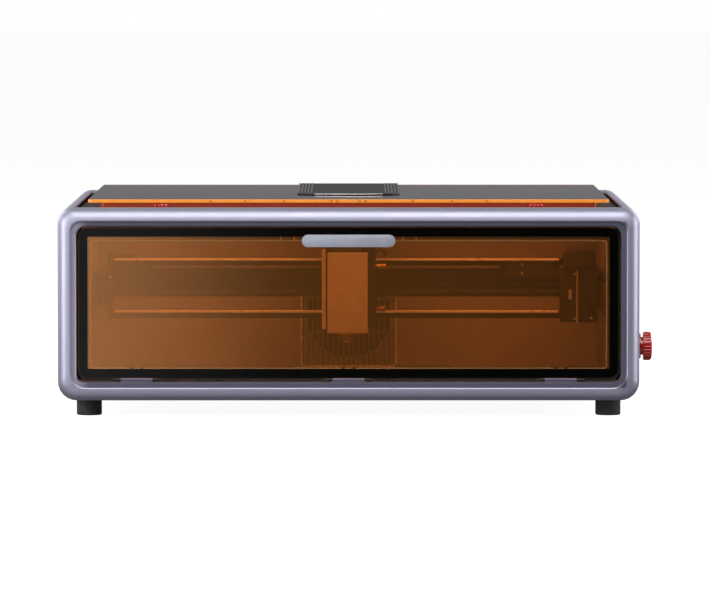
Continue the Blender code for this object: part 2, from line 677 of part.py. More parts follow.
def gantry(axis, finish):
    gantry_beam(axis, finish["dark_aluminium"])
    slab("gantry_lower_bar", (-237.9, 215, 84), (216, 223, 92), axis, finish["dark_aluminium"], bevel=0.8)
    left = slab("gantry_left_bracket", (-243, 203, 84), (-238.3, 240, 150), axis, finish["black"])
    block = slab("tool_left_block", (-250.7, 200, 98), (-242.5, 278, 134), axis)
    stand = slab("tool_motor_stand", (-243, 273, 112), (-233, 281, 134), axis)
    plate = slab("tool_motor_plate", (-234, 238, 112), (-230.4, 282, 134.5), axis)
    shelf = slab("tool_idler_shelf", (-242.5, 232, 144.4), (-217, 251.5, 147), axis)
    axle = rod("tool_idler_axle", (X_IDLER_X, X_BELT_Y, 140 * MM), 12 * MM, 2 * MM, "Z", axis)
    bore = rod("tool_left_shaft_bore", (-240 * MM, SHAFT_Y, SHAFT_Z), 40 * MM, SHAFT_BORE_RADIUS, "X",
               axis)
    unite(left, block, stand, plate, shelf, axle)
    cut(left, bore)
    right = slab("gantry_right_bracket", (213.3, 211.7, 80), (250.7, 214.7, 134), axis, finish["black"])
    ear = slab("tool_right_ear", (160, 211.7, 126), (216, 214.7, 143), axis)
    side = slab("tool_right_block", (242.5, 200, 98), (250.7, 278, 134), axis)
    right_bore = rod("tool_right_shaft_bore", (246 * MM, SHAFT_Y, SHAFT_Z), 20 * MM, SHAFT_BORE_RADIUS,
                     "X", axis)
    clear = slab("tool_right_clear", (205, 205, 134.2), (260, 220, 150), axis)
    unite(right, ear, side)
    cut(right, right_bore, clear)


def x_drive(axis, finish):
    motor = slab("x_motor", (214, 229.5, 80), (242, 257.5, 134), axis, finish["black"], bevel=1.5)
    bore = rod("tool_x_motor_bore", (X_DRIVE_X, X_BELT_Y, 130 * MM), 24 * MM, 2.4 * MM, "Z", axis)
    cut(motor, bore)
    cover = slab("x_belt_cover", (217, 205, 134.5), (249, 262, 152), axis, finish["black"], bevel=1.5)
    hollow = slab("tool_cover_hollow", (210, 233, 130), (240, 254, 146.5), axis)
    cut(cover, hollow)
    loop = (X_DRIVE_X - X_IDLER_X) / 2
    outer = X_PULLEY_RADIUS + 1.5 * MM
    profile = [(0.0, X_BELT_BOTTOM), (1.2 * MM, X_BELT_BOTTOM), (1.2 * MM, X_BELT_BOTTOM + X_BELT_WIDTH),
               (0.0, X_BELT_BOTTOM + X_BELT_WIDTH)]
    end_radius = outer - 0.01 * MM
    swept_ring("x_belt", profile, loop + outer, outer, shrinking(end_radius, end_radius, rate=1.0), lying,
               ((X_DRIVE_X + X_IDLER_X) / 2, X_BELT_Y, 0), axis, finish["belt"])


def pulley_profile(stub, bore):
    """A flanged belt pulley from its lower end up. A stub is its shaft below, a bore its open middle."""
    rim = [(135.2, 7.0), (136.2, 7.0), (136.2, 6.0), (142.8, 6.0), (142.8, 7.0), (143.8, 7.0)]
    if bore:
        return [(135.2, bore)] + rim + [(143.8, bore)]
    return [(stub, 0), (stub, 2.0), (135.2, 2.0)] + rim + [(143.8, 0)]


def pulleys(drive_axis, idler_axis, shaft_axis, finish):
    turned("x_drive_pulley", pulley_profile(121, 0), (X_DRIVE_X, X_BELT_Y, 0), "Z", drive_axis, finish,
           steps=20)
    turned("x_idler_pulley", pulley_profile(0, 2.3), (X_IDLER_X, X_BELT_Y, 0), "Z", idler_axis, finish,
           steps=20,
           closed=True)
    thin = SHAFT_RADIUS / MM
    thick = SHAFT_PULLEY_RADIUS / MM
    half = [(0, thin), (251.5, thin), (251.5, thick), (258.8, thick), (258.8, 0)]
    profile = [(-along, radius) for along, radius in half[:0:-1]] + half[1:]
    turned("y_cross_shaft", profile, (0, SHAFT_Y, SHAFT_Z), "X", shaft_axis, finish, steps=20)


def y_motor(axis, finish):
    motor = slab("y_motor", (-230, 254, 113.3), (-204, 282, 141.3), axis, finish, bevel=1.5)
    bore = rod("tool_y_motor_bore", (-217 * MM, SHAFT_Y, SHAFT_Z), 40 * MM, SHAFT_BORE_RADIUS, "X", axis)
    cut(motor, bore)


def carriage(axis, finish):
    plate = slab("carriage_plate", (-26.6, 198.4, 77.6), (27, 201.7, 156.5), axis, finish)
    block = slab("tool_carriage_block", (-21, 200, 103), (19, 212.9, 125), axis)
    slot = slab("tool_rail_slot", (-40, 206.8, 107.6), (40, 216, 120.4), axis)
    left = slab("tool_left_cheek", (-26.6, 168, 77.6), (-22.6, 199, 156.5), axis)
    right = slab("tool_right_cheek", (20, 172, 77.6), (27, 199, 150), axis)
    arm = slab("tool_belt_arm", (-6, 200, 147.4), (4, 240, 150.4), axis)
    hook = slab("tool_belt_hook", (-6, 238.0, 137), (4, 240, 148), axis)
    unite(plate, block, left, right, arm, hook)
    cut(plate, slot)


# ---------------------------------------------------------------- laser head

def heatsink_comb():
    """The heatsink seen from above: a flat front and upright fins behind."""
    left = 19.2 - FIN_COUNT * FIN_PITCH + FIN_GAP
    comb = [(left, 170), (19.2, 170)]
    for fin in range(FIN_COUNT):
        start = 19.2 - fin * FIN_PITCH
        end = start - FIN_PITCH + FIN_GAP
        if fin:
            comb.append((start, 190))
        comb += [(start, 197.6), (end, 197.6)]
        if fin < FIN_COUNT - 1:
            comb.append((end, 190))
    return [(x * MM, y * MM) for x, y in comb]


def laser_head(axis, finish):
    slab("laser_front_cover", (-21.3, 163.5, COVER_BOTTOM / MM), (19.3, 169.6, COVER_TOP / MM), axis,
         finish["cover"], bevel=1.0)
    extruded("laser_heatsink", heatsink_comb(), HEATSINK_BOTTOM, HEATSINK_TOP, lying, (0, 0, 0), axis,
             finish["dark_aluminium"])
    nozzle = [(75.7, 3), (75.7, 11), (70, 11), (63, 6), (62, 6), (62, 3)]
    turned("laser_nozzle", nozzle, (HEAD_X, HEAD_Y, 0), "Z", axis, finish["brass"], steps=20, closed=True)
    frame = slab("head_fan_frame", (-14, 171, 150.3), (12, 197, 158), axis, finish["black"], bevel=0.8)
    well = rod("tool_head_fan_well", (HEAD_X, HEAD_Y, 155 * MM), 7.4 * MM, 11.8 * MM, "Z", axis, steps=24)
    cut(frame, well)


def fan(name, origin, axis_letter, hub, blade_tip, low, high, blades, parent, finish):
    """A fan rotor: a hub with flat blades set at a slant, made one body by a union."""
    middle = (low + high) / 2
    rotor = turned(name, [(low, 0), (low, hub), (high, hub), (high, 0)], origin, axis_letter, parent,
                   finish, steps=20)
    for count in range(blades):
        shape = bmesh.new()
        bmesh.ops.create_cube(shape, size=1.0)
        size = Vector((blade_tip - hub + 1.0, 1.2, (high - low) * 0.95)) * MM
        bmesh.ops.scale(shape, vec=size, verts=shape.verts)
        reach = (hub + blade_tip - 1.0) / 2 * MM
        slant = Matrix.Rotation(math.radians(35), 4, "X")
        spread = Matrix.Rotation(2 * math.pi * count / blades, 4, "Z")
        bmesh.ops.transform(shape, matrix=spread @ Matrix.Translation((reach, 0, middle * MM)) @ slant,
                            verts=shape.verts)
        bmesh.ops.transform(shape, matrix=AXIS_TURNS[axis_letter], verts=shape.verts)
        unite(rotor, as_object(f"tool_{name}_blade_{count}", shape, origin, parent))
    return rotor


def focus_knob(axis, finish):
    profile = [(27.3, 0), (27.3, 1.2), (30.4, 1.2), (30.4, 3.0), (37, 3.0), (37.5, 2.5), (37.5, 0)]
    turned("focus_knob", profile, (0, HEAD_Y, FOCUS_KNOB_Z), "X", axis, finish, steps=12)


# ---------------------------------------------------------------- exhaust, electrics and stop button

def exhaust_grille(machine, finish):
    shape = bmesh.new()
    bmesh.ops.create_grid(shape, x_segments=GRILLE_COLUMNS, y_segments=GRILLE_ROWS, size=0.5)
    width = GRILLE_WIDTH - 2 * GRILLE_BORDER
    height = GRILLE_HEIGHT - 2 * GRILLE_BORDER
    bmesh.ops.scale(shape, vec=(width, height, 1), verts=shape.verts)
    inset = bmesh.ops.inset_individual(shape, faces=shape.faces[:], thickness=1.3 * MM, depth=0.0)
    rims = set(inset["faces"])
    bmesh.ops.delete(shape, geom=[face for face in shape.faces if face not in rims], context="FACES_ONLY")
    outline = [edge for edge in shape.edges if on_outline(edge, width, height)]
    border = bmesh.ops.extrude_edge_only(shape, edges=outline)
    outer = [item for item in border["geom"] if isinstance(item, bmesh.types.BMVert)]
    bmesh.ops.scale(shape, vec=(GRILLE_WIDTH / width, GRILLE_HEIGHT / height, 1), verts=outer)
    grown = bmesh.ops.extrude_face_region(shape, geom=shape.faces[:])
    moved = [item for item in grown["geom"] if isinstance(item, bmesh.types.BMVert)]
    bmesh.ops.translate(shape, vec=(0, 0, GRILLE_DEPTH), verts=moved)
    bmesh.ops.rotate(shape, cent=(0, 0, 0), matrix=Matrix.Rotation(math.radians(90), 3, "X"),
                     verts=shape.verts)
    as_object("exhaust_grille", shape, (0, 436.5 * MM, EXHAUST_Z), machine, finish)


def on_outline(edge, width, height):
    """Whether an edge lies on a rectangle round the origin."""
    middle = (edge.verts[0].co + edge.verts[1].co) / 2
    return abs(abs(middle.x) - width / 2) < 1e-5 or abs(abs(middle.y) - height / 2) < 1e-5


def exhaust(machine, finish):
    exhaust_grille(machine, finish["liner"])
    half = FAN_FRAME_HALF / MM
    middle = EXHAUST_Z / MM
    frame = slab("exhaust_fan_frame", (-half, 443, middle - half), (half, 464, middle + half), machine,
                 finish["black"])
    bore = rod("tool_fan_bore", (0, 450 * MM, EXHAUST_Z), 60 * MM, FAN_BORE_RADIUS, "Y", machine,
               steps=ROUND_STEPS)
    cut(frame, bore)
    hub = rod("tool_fan_hub", (0, 462.5 * MM, EXHAUST_Z), 3 * MM, 17 * MM, "Y", machine, steps=20)
    spokes = [slab("tool_fan_spoke_a", (-44, 461.2, 72), (44, 463.8, 76), machine),
              slab("tool_fan_spoke_b", (-2, 461.2, 30), (2, 463.8, 118), machine)]
    unite(frame, hub, *spokes)
    bore_radius = DUCT_RADIUS / MM
    tip = (CASE_DEPTH + COLLAR_REACH) / MM
    collar = [(467.7, bore_radius), (467.7, bore_radius + 4.4), (470, bore_radius + 4.4),
              (470, bore_radius + 2),
              (tip - 1, bore_radius + 2), (tip, bore_radius + 1.4), (tip, bore_radius)]
    turned("exhaust_collar", collar, (0, 0, EXHAUST_Z), "Y", machine, finish["black"], closed=True)


def electrics(machine, finish):
    slab("control_box", (120, 441, 74), (235, 463.5, 170), machine, finish["black"], bevel=1.5)
    x = INLET_X / MM
    z = INLET_Z / MM
    inlet = slab("power_inlet", (x - 24, 467.7, z - 13.5), (x + 24, 470, z + 13.5), machine,
                 finish["black"])
    body = slab("tool_inlet_body", (x - 13.6, 448, z - 10.1), (x + 13.6, 469, z + 10.1), machine)
    recess = slab("tool_inlet_recess", (x - 11.6, 452, z - 8.1), (x + 11.6, 480, z + 8.1), machine)
    unite(inlet, body)
    cut(inlet, recess)


def power_rocker(axis, finish):
    """A rocker that rests tipped one way; its outer face is a shallow V."""
    tilt = math.radians(-6)
    outline = [(-6, -8.6), (4.0, -9.0), (3.0, 0), (4.0, 9.0), (-6, 8.6)]
    turned_outline = [(y * math.cos(tilt) - z * math.sin(tilt), y * math.sin(tilt) + z * math.cos(tilt))
                      for y, z in outline]
    extruded("power_rocker", [(y * MM, z * MM) for y, z in turned_outline], -8.6 * MM, 8.6 * MM, sideways,
             (ROCKER_X, ROCKER_PIVOT_Y, INLET_Z), axis, finish)


def stop_button(machine, push_axis, twist_axis, finish):
    collar = [(284.3, 10.8), (284.3, 12.3), (287.2, 12.3), (287.2, 10.8)]
    turned("estop_collar", collar, (0, ESTOP_Y, ESTOP_Z), "X", machine, finish["red"], closed=True)
    plunger = [(268, 0), (268, 4.0), (290.5, 4.0), (290.5, 0)]
    turned("estop_plunger", plunger, (0, ESTOP_Y, ESTOP_Z), "X", push_axis, finish["black"], steps=20)
    cap = [(298, 0), (298, 12.0), (297.2, 13.2), (289.7, 13.4), (289.5, 8.8), (286.6, 8.8), (286.6, 4.3),
           (290.8, 4.3), (290.8, 0)]
    turned("estop_cap", cap, (0, ESTOP_Y, ESTOP_Z), "X", twist_axis, finish["red"])


# ---------------------------------------------------------------- the whole machine

def make_axes():
    """The empties that carry the machine and everything that moves in it."""
    machine = make_empty("machine", (MID_X, FRONT_Y, 0))
    gantry_axis = make_empty("gantry_axis", (0, BEAM_FRONT, BEAM_BOTTOM), machine)
    carriage_axis = make_empty("carriage_axis", (0, BEAM_FRONT, BEAM_BOTTOM), gantry_axis)
    head_axis = make_empty("head_axis", (HEAD_X, HEAD_Y, BEAM_BOTTOM), carriage_axis)
    push_axis = make_empty("estop_push_axis", (0, ESTOP_Y, ESTOP_Z), machine)
    return {
        "machine": machine,
        "door": make_empty("door_axis", (0, DOOR_AXIS_Y, DOOR_AXIS_Z), machine),
        "lid": make_empty("lid_axis", (0, LID_AXIS_Y, LID_AXIS_Z), machine),
        "gantry": gantry_axis,
        "carriage": carriage_axis,
        "head": head_axis,
        "x_drive": make_empty("x_drive_axis", (X_DRIVE_X, X_BELT_Y, 0), gantry_axis),
        "x_idler": make_empty("x_idler_axis", (X_IDLER_X, X_BELT_Y, 0), gantry_axis),
        "y_shaft": make_empty("y_shaft_axis", (0, SHAFT_Y, SHAFT_Z), gantry_axis),
        "focus_knob": make_empty("focus_knob_axis", (0, HEAD_Y, FOCUS_KNOB_Z), carriage_axis),
        "head_fan": make_empty("head_fan_axis", (HEAD_X, HEAD_Y, 0), head_axis),
        "exhaust_fan": make_empty("exhaust_fan_axis", (0, 0, EXHAUST_Z), machine),
        "push": push_axis,
        "twist": make_empty("estop_twist_axis", (0, ESTOP_Y, ESTOP_Z), push_axis),
        "rocker": make_empty("rocker_axis", (ROCKER_X, ROCKER_PIVOT_Y, INLET_Z), machine),
    }


def enclosure(axes, finish):
    machine = axes["machine"]
    front_bezel(machine, finish["case"])
    side_shells(machine, finish["case"])
    rear_rim(machine, finish["case"])
    rear_panels(machine, finish["black_coat"])
    inner_sheets(machine, finish)
    lid_seat(machine, finish["black_coat"])
    rear_cover(machine, finish["case"])
    feet(machine, finish["rubber"])
    door(axes["door"], finish)
    door_hinge_pin(machine, finish["steel"])
    lid(axes["lid"], finish)
    lid_hinges(machine, axes["lid"], finish["steel"])


def motion_system(axes, finish):
    side_rails(axes["machine"], finish)
    gantry(axes["gantry"], finish)
    x_drive(axes["gantry"], finish)
    y_motor(axes["gantry"], finish["black"])
    pulleys(axes["x_drive"], axes["x_idler"], axes["y_shaft"], finish["steel"])
    carriage(axes["carriage"], finish["dark_aluminium"])
    laser_head(axes["head"], finish)
    fan("head_fan_rotor", (HEAD_X, HEAD_Y, 0), "Z", 4.5, 11.2, 151.8, 157.2, 5, axes["head_fan"],
        finish["black"])
    focus_knob(axes["focus_knob"], finish["brass"])


def fittings(axes, finish):
    machine = axes["machine"]
    exhaust(machine, finish)
    fan("exhaust_fan_rotor", (0, 0, EXHAUST_Z), "Y", 17.5, 41.5, 444.5, 460.5, 7, axes["exhaust_fan"],
        finish["black"])
    electrics(machine, finish)
    power_rocker(axes["rocker"], finish["red"])
    stop_button(machine, axes["push"], axes["twist"], finish)


def build():
    clear_scene()
    finish = make_materials()
    axes = make_axes()
    enclosure(axes, finish)
    motion_system(axes, finish)
    fittings(axes, finish)


build()
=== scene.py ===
import json
import math

import bmesh
import bpy
from mathutils import Matrix, Vector


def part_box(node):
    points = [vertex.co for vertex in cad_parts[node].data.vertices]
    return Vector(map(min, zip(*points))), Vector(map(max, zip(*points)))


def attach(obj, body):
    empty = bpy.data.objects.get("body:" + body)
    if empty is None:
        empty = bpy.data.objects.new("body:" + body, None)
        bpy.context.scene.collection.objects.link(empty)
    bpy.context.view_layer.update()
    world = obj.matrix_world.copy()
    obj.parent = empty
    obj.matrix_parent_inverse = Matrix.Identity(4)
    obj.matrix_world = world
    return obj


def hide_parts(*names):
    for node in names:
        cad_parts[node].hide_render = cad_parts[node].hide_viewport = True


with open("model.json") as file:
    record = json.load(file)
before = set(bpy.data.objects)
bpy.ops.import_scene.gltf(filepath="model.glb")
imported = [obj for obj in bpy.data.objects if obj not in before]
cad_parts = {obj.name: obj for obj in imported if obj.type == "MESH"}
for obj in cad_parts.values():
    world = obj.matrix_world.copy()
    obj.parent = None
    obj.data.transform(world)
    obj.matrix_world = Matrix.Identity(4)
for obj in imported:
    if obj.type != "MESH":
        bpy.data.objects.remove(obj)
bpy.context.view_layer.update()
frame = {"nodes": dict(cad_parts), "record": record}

# Places and sizes are in the machine's own millimetres, except in the studio, which is in metres.
MM = 0.001
BEZEL_LOW, BEZEL_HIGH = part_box("front_bezel")
MID_X = (BEZEL_LOW.x + BEZEL_HIGH.x) / 2
FRONT_Y = BEZEL_LOW.y
SIDES = (-1, 1)
QUARTER = math.pi / 2
RIM_ANGLE = 1.0
SHARP_ANGLE = math.radians(50)
CREASE_ANGLE = math.radians(28)
DOUBLES = 1e-6
CAD_DOUBLES = 1e-5
SLIVER_AREA = 1e-4


# ---------------------------------------------------------------- places and shapes

def at(x, y, z):
    """A place in the machine's own millimetres: x from its middle, y back from the front, z up."""
    return Vector((MID_X + x * MM, FRONT_Y + y * MM, z * MM))


def span(node):
    """A CAD node's lowest and highest corner in the machine's own millimetres."""
    return [Vector(((corner.x - MID_X) / MM, (corner.y - FRONT_Y) / MM, corner.z / MM))
            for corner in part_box(node)]


def bevel(shape, edges, width, segments=2):
    bmesh.ops.bevel(shape, geom=edges, offset=width * MM, offset_type="OFFSET", segments=segments,
                    profile=0.5, affect="EDGES", material=-1, clamp_overlap=True)


def block(low, high, edge=0.4, segments=2):
    """A box between two corners with softened edges."""
    shape = bmesh.new()
    low = at(*low)
    high = at(*high)
    bmesh.ops.create_cube(shape, size=1.0)
    bmesh.ops.scale(shape, vec=high - low, verts=shape.verts)
    bmesh.ops.translate(shape, vec=(low + high) / 2, verts=shape.verts)
    if edge:
        bevel(shape, shape.edges[:], edge, segments)
    return shape


def rounded_face(width, height, radius, steps=6):
    """A flat rounded rectangle round the origin, in X and Y."""
    shape = bmesh.new()
    bmesh.ops.create_grid(shape, x_segments=1, y_segments=1, size=0.5)
    bmesh.ops.scale(shape, vec=(width * MM, height * MM, 1), verts=shape.verts)
    bmesh.ops.bevel(shape, geom=shape.verts[:], offset=radius * MM, offset_type="OFFSET",
                    segments=steps, profile=0.5, affect="VERTICES", material=-1, clamp_overlap=True)
    return shape


TURNS = {"X": Matrix.Rotation(QUARTER, 4, "Z") @ Matrix.Rotation(QUARTER, 4, "X"),
         "Y": Matrix.Rotation(QUARTER, 4, "X"),
         "Z": Matrix.Identity(4)}


def stand_up(shape, facing, centre):
    """Turns a shape made in X and Y to face along an axis, and moves it to its centre."""
    bmesh.ops.transform(shape, matrix=Matrix.Translation(at(*centre)) @ TURNS[facing],
                        verts=shape.verts)
    return shape


def thickened(shape, depth):
    """Grows a flat shape along Z by its depth, centred on where it was."""
    grown = bmesh.ops.extrude_face_region(shape, geom=shape.faces[:])
    moved = [item for item in grown["geom"] if isinstance(item, bmesh.types.BMVert)]
    bmesh.ops.translate(shape, vec=(0, 0, depth * MM), verts=moved)
    bmesh.ops.translate(shape, vec=(0, 0, -depth * MM / 2), verts=shape.verts)
    bmesh.ops.recalc_face_normals(shape, faces=shape.faces[:])


def rim_edges(shape):
    """The sharp edges round a plate's two faces."""
    return [edge for edge in shape.edges if edge.is_manifold and edge.calc_face_angle() > RIM_ANGLE]


def plate(width, height, depth, radius, facing, centre, edge=0.3, steps=6):
    """A rounded plate with softened rims."""
    shape = rounded_face(width, height, radius, steps)
    thickened(shape, depth)
    if edge:
        bevel(shape, rim_edges(shape), edge)
    return stand_up(shape, facing, centre)


def ring(width, height, rim, depth, radius, facing, centre, edge=0.3, steps=6):
    """A rounded rectangular ring with an open middle."""
    shape = rounded_face(width, height, radius, steps)
    bmesh.ops.inset_region(shape, faces=shape.faces[:], thickness=rim * MM, use_even_offset=True,
                           use_boundary=True)
    middle = min(shape.faces, key=lambda face: (face.calc_center_median().length
                                                + (face.calc_area() < SLIVER_AREA)))
    bmesh.ops.delete(shape, geom=[middle], context="FACES_ONLY")
    thickened(shape, depth)
    if edge:
        bevel(shape, rim_edges(shape), edge)
    return stand_up(shape, facing, centre)


def turned(profile, facing, centre, steps=24):
    """A shape of revolution from (along, radius) pairs in millimetres. Facing Y, along is to the front."""
    shape = bmesh.new()
    verts = [shape.verts.new((radius * MM, 0, along * MM)) for along, radius in profile]
    edges = [shape.edges.new(pair) for pair in zip(verts, verts[1:])]
    bmesh.ops.spin(shape, geom=verts + edges, cent=(0, 0, 0), axis=(0, 0, 1), dvec=(0, 0, 0),
                   angle=2 * math.pi, steps=steps, use_merge=True, use_duplicate=False)
    bmesh.ops.remove_doubles(shape, verts=shape.verts, dist=DOUBLES)
    bmesh.ops.recalc_face_normals(shape, faces=shape.faces[:])
    return stand_up(shape, facing, centre)


def joined(shapes):
    """Several shapes as one."""
    whole = bmesh.new()
    for shape in shapes:
        mesh = bpy.data.meshes.new("part")
        shape.to_mesh(mesh)
        shape.free()
        whole.from_mesh(mesh)
        bpy.data.meshes.remove(mesh)
    return whole


def piece(name, shape, finish, body):
    """Makes a shape, or a list of them, an object that rides on a body of the machine."""
    if isinstance(shape, list):
        shape = joined(shape)
    mesh = bpy.data.meshes.new(name)
    shape.to_mesh(mesh)
    shape.free()
    mesh.materials.append(finish)
    made = bpy.data.objects.new(name, mesh)
    bpy.context.scene.collection.objects.link(made)
    mesh.shade_smooth()
    mesh.set_sharp_from_angle(angle=SHARP_ANGLE)
    made.modifiers.new("even_shading", "WEIGHTED_NORMAL").keep_sharp = True
    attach(made, body)
    return made


def tube(name, points, radius, finish, body):
    """A round hose or wire through points, as a mesh."""
    curve = bpy.data.curves.new(name, "CURVE")
    curve.dimensions = "3D"
    curve.bevel_depth = radius * MM
    curve.bevel_resolution = 3
    curve.resolution_u = 6
    curve.use_fill_caps = True
    spline = curve.splines.new("BEZIER")
    spline.bezier_points.add(len(points) - 1)
    for knot, point in zip(spline.bezier_points, points):
        knot.co = at(*point)
        knot.handle_left_type = "AUTO"
        knot.handle_right_type = "AUTO"
    holder = bpy.data.objects.new(name + "_path", curve)
    bpy.context.scene.collection.objects.link(holder)
    bpy.context.view_layer.update()
    solid = bmesh.new()
    solid.from_mesh(holder.to_mesh())
    holder.to_mesh_clear()
    bpy.data.objects.remove(holder)
    bmesh.ops.remove_doubles(solid, verts=solid.verts, dist=DOUBLES)
    bmesh.ops.recalc_face_normals(solid, faces=solid.faces[:])
    return piece(name, solid, finish, body)


# ---------------------------------------------------------------- building materials

def linear(colour):
    """An sRGB hex colour as linear RGBA."""
    values = [int(colour[place:place + 2], 16) / 255 for place in (0, 2, 4)]
    parts = [value / 12.92 if value <= 0.04045 else ((value + 0.055) / 1.055) ** 2.4 for value in values]
    return parts + [1.0]


def add(owner, kind, settings=None, links=None):
    """Adds one node to a material or the world, with its settings and what feeds it."""
    node = owner.node_tree.nodes.new(kind)
    for name, value in (settings or {}).items():
        if isinstance(name, int) or name in node.inputs:
            node.inputs[name].default_value = value
        else:
            setattr(node, name, value)
    for name, source in (links or {}).items():
        owner.node_tree.links.new(source, node.inputs[name])
    return node


def join(owner, source, socket):
    owner.node_tree.links.new(source, socket)


def blended(owner, operation, first, second):
    """Combines two values; the second may be a plain number."""
    if isinstance(second, float):
        node = add(owner, "ShaderNodeMath", {"operation": operation, 1: second}, {0: first})
    else:
        node = add(owner, "ShaderNodeMath", {"operation": operation}, {0: first, 1: second})
    return node.outputs["Value"]


def vector_step(owner, operation, source, amount):
    """Combines a vector with a constant one."""
    settings = {"operation": operation, 1: amount}
    return add(owner, "ShaderNodeVectorMath", settings, {0: source}).outputs["Vector"]


def ramp(owner, source, start, end, low=0.0, high=1.0, kind="LINEAR"):
    """A value that goes from low to high while its source goes from start to end."""
    settings = {"interpolation_type": kind, "From Min": start, "From Max": end,
                "To Min": low, "To Max": high}
    return add(owner, "ShaderNodeMapRange", settings, {"Value": source}).outputs["Result"]


def eased(owner, source, start, end, low=0.0, high=1.0):
    """The same, with a soft start and a soft end."""
    return ramp(owner, source, start, end, low, high, "SMOOTHSTEP")


def split(owner, source):
    """A vector's X, Y and Z."""
    return add(owner, "ShaderNodeSeparateXYZ", None, {0: source}).outputs


def object_place(owner):
    return add(owner, "ShaderNodeTexCoord").outputs["Object"]


def finish_with(name, **settings):
    """A new material and its shader, with constants set on the shader's own sockets."""
    finish = bpy.data.materials.new(name)
    finish.use_nodes = True
    shader = finish.node_tree.nodes["Principled BSDF"]
    for socket, value in settings.items():
        shader.inputs[socket.replace("_", " ")].default_value = value
    return finish, shader


def per_mm(size):
    """The texture scale that gives features of this size in millimetres."""
    return 1 / (size * MM)


def grain(finish, size, stretch=(1, 1, 1)):
    """Noise in the object's own place, its grains this many millimetres across."""
    place = add(finish, "ShaderNodeMapping", {"Scale": stretch}, {"Vector": object_place(finish)})
    return add(finish, "ShaderNodeTexNoise", {"Scale": per_mm(size), "Detail": 2.0, "Roughness": 0.6},
               {"Vector": place.outputs["Vector"]}).outputs["Fac"]


def tinted(finish, shader, first, second, mask):
    """Two tones of a colour, spread by a mask."""
    mix = add(finish, "ShaderNodeMix", {"data_type": "RGBA", 6: linear(first), 7: linear(second)},
              {0: ramp(finish, mask, 0.35, 0.65)})
    join(finish, mix.outputs[2], shader.inputs["Base Color"])


def roughened(finish, shader, mask, low, high):
    """Roughness between two values, spread by a mask."""
    join(finish, ramp(finish, mask, 0.3, 0.7, low, high), shader.inputs["Roughness"])


def bumped(finish, shader, height, strength, depth):
    """A bump this many millimetres deep."""
    bump = add(finish, "ShaderNodeBump", {"Strength": strength, "Distance": depth * MM},
               {"Height": height})
    join(finish, bump.outputs["Normal"], shader.inputs["Normal"])


# ---------------------------------------------------------------- finishes

BEZEL_CORNER = 16 * MM
SHADE_START = 11.8 * MM
SHADE_FULL = 14.2 * MM
LAND_FACE = 7 * MM
LAND_FADED = 9 * MM
LEFT_LIT = 19 * MM
LEFT_SHADED = 30 * MM


def silver_paint():
    """Sprayed lilac-silver coat on the case: fine flakes in a satin film give it long soft highlights."""
    finish, shader = finish_with("satin_lilac_silver_paint", Metallic=0.75, IOR=1.5)
    tinted(finish, shader, "A8A7BA", "B0AFC2", grain(finish, 1.2))
    roughened(finish, shader, grain(finish, 45), 0.46, 0.5)
    bumped(finish, shader, grain(finish, 1.6), 0.02, 0.03)
    recess_shade(finish, shader)
    return finish


def outline_distance(finish, place):
    """The distance from the bezel's rounded outline, negative inside it, plus the corner's radius."""
    half = (BEZEL_HIGH - BEZEL_LOW) / 2
    centred = vector_step(finish, "SUBTRACT", place, (BEZEL_HIGH + BEZEL_LOW) / 2)
    flat = vector_step(finish, "MULTIPLY", vector_step(finish, "ABSOLUTE", centred, (0, 0, 0)), (1, 0, 1))
    beyond = vector_step(finish, "SUBTRACT", flat, (half.x - BEZEL_CORNER, 0, half.z - BEZEL_CORNER))
    outside = vector_step(finish, "MAXIMUM", beyond, (0, 0, 0))
    reach = add(finish, "ShaderNodeVectorMath", {"operation": "LENGTH"}, {0: outside}).outputs["Value"]
    parts = split(finish, beyond)
    inner = blended(finish, "MINIMUM", blended(finish, "MAXIMUM", parts["X"], parts["Z"]), 0.0)
    return blended(finish, "ADD", reach, inner)


def recess_shade(finish, shader):
    """Darkens the bezel's recessed land, which sits in the shade of its bead all round but at the left."""
    place = object_place(finish)
    deep = eased(finish, outline_distance(finish, place), BEZEL_CORNER - SHADE_START,
                 BEZEL_CORNER - SHADE_FULL)
    parts = split(finish, place)
    front = ramp(finish, parts["Y"], FRONT_Y + LAND_FADED, FRONT_Y + LAND_FACE)
    left = ramp(finish, parts["X"], BEZEL_LOW.x + LEFT_LIT, BEZEL_LOW.x + LEFT_SHADED, 0.15)
    shade = blended(finish, "MULTIPLY", blended(finish, "MULTIPLY", deep, front), left)
    colour = shader.inputs["Base Color"].links[0].from_socket
    mix = add(finish, "ShaderNodeMix", {"data_type": "RGBA", 7: linear("666574")}, {0: shade, 6: colour})
    join(finish, mix.outputs[2], shader.inputs["Base Color"])
    join(finish, ramp(finish, shade, 0.0, 1.0, 0.5, 0.1), shader.inputs["Specular IOR Level"])


def powder_coat(name, first, second, rough=0.55, size=0.9):
    """Baked powder coat on folded sheet: a fine pebbled skin with a dull sheen."""
    finish, shader = finish_with(name, IOR=1.5)
    tinted(finish, shader, first, second, grain(finish, size * 4))
    roughened(finish, shader, grain(finish, 30), rough - 0.06, rough + 0.06)
    bumped(finish, shader, grain(finish, size), 0.2, 0.06)
    return finish


ALONG_X = (0.02, 1, 1)


def extruded_aluminium(name, first, second, rough=0.4):
    """Anodised extrusion: faint die lines run along its length, so light stretches across them."""
    finish, shader = finish_with(name, Metallic=0.8)
    tinted(finish, shader, first, second, grain(finish, 0.8, ALONG_X))
    roughened(finish, shader, grain(finish, 20), rough - 0.05, rough + 0.06)
    bumped(finish, shader, grain(finish, 0.6, ALONG_X), 0.1, 0.04)
    return finish


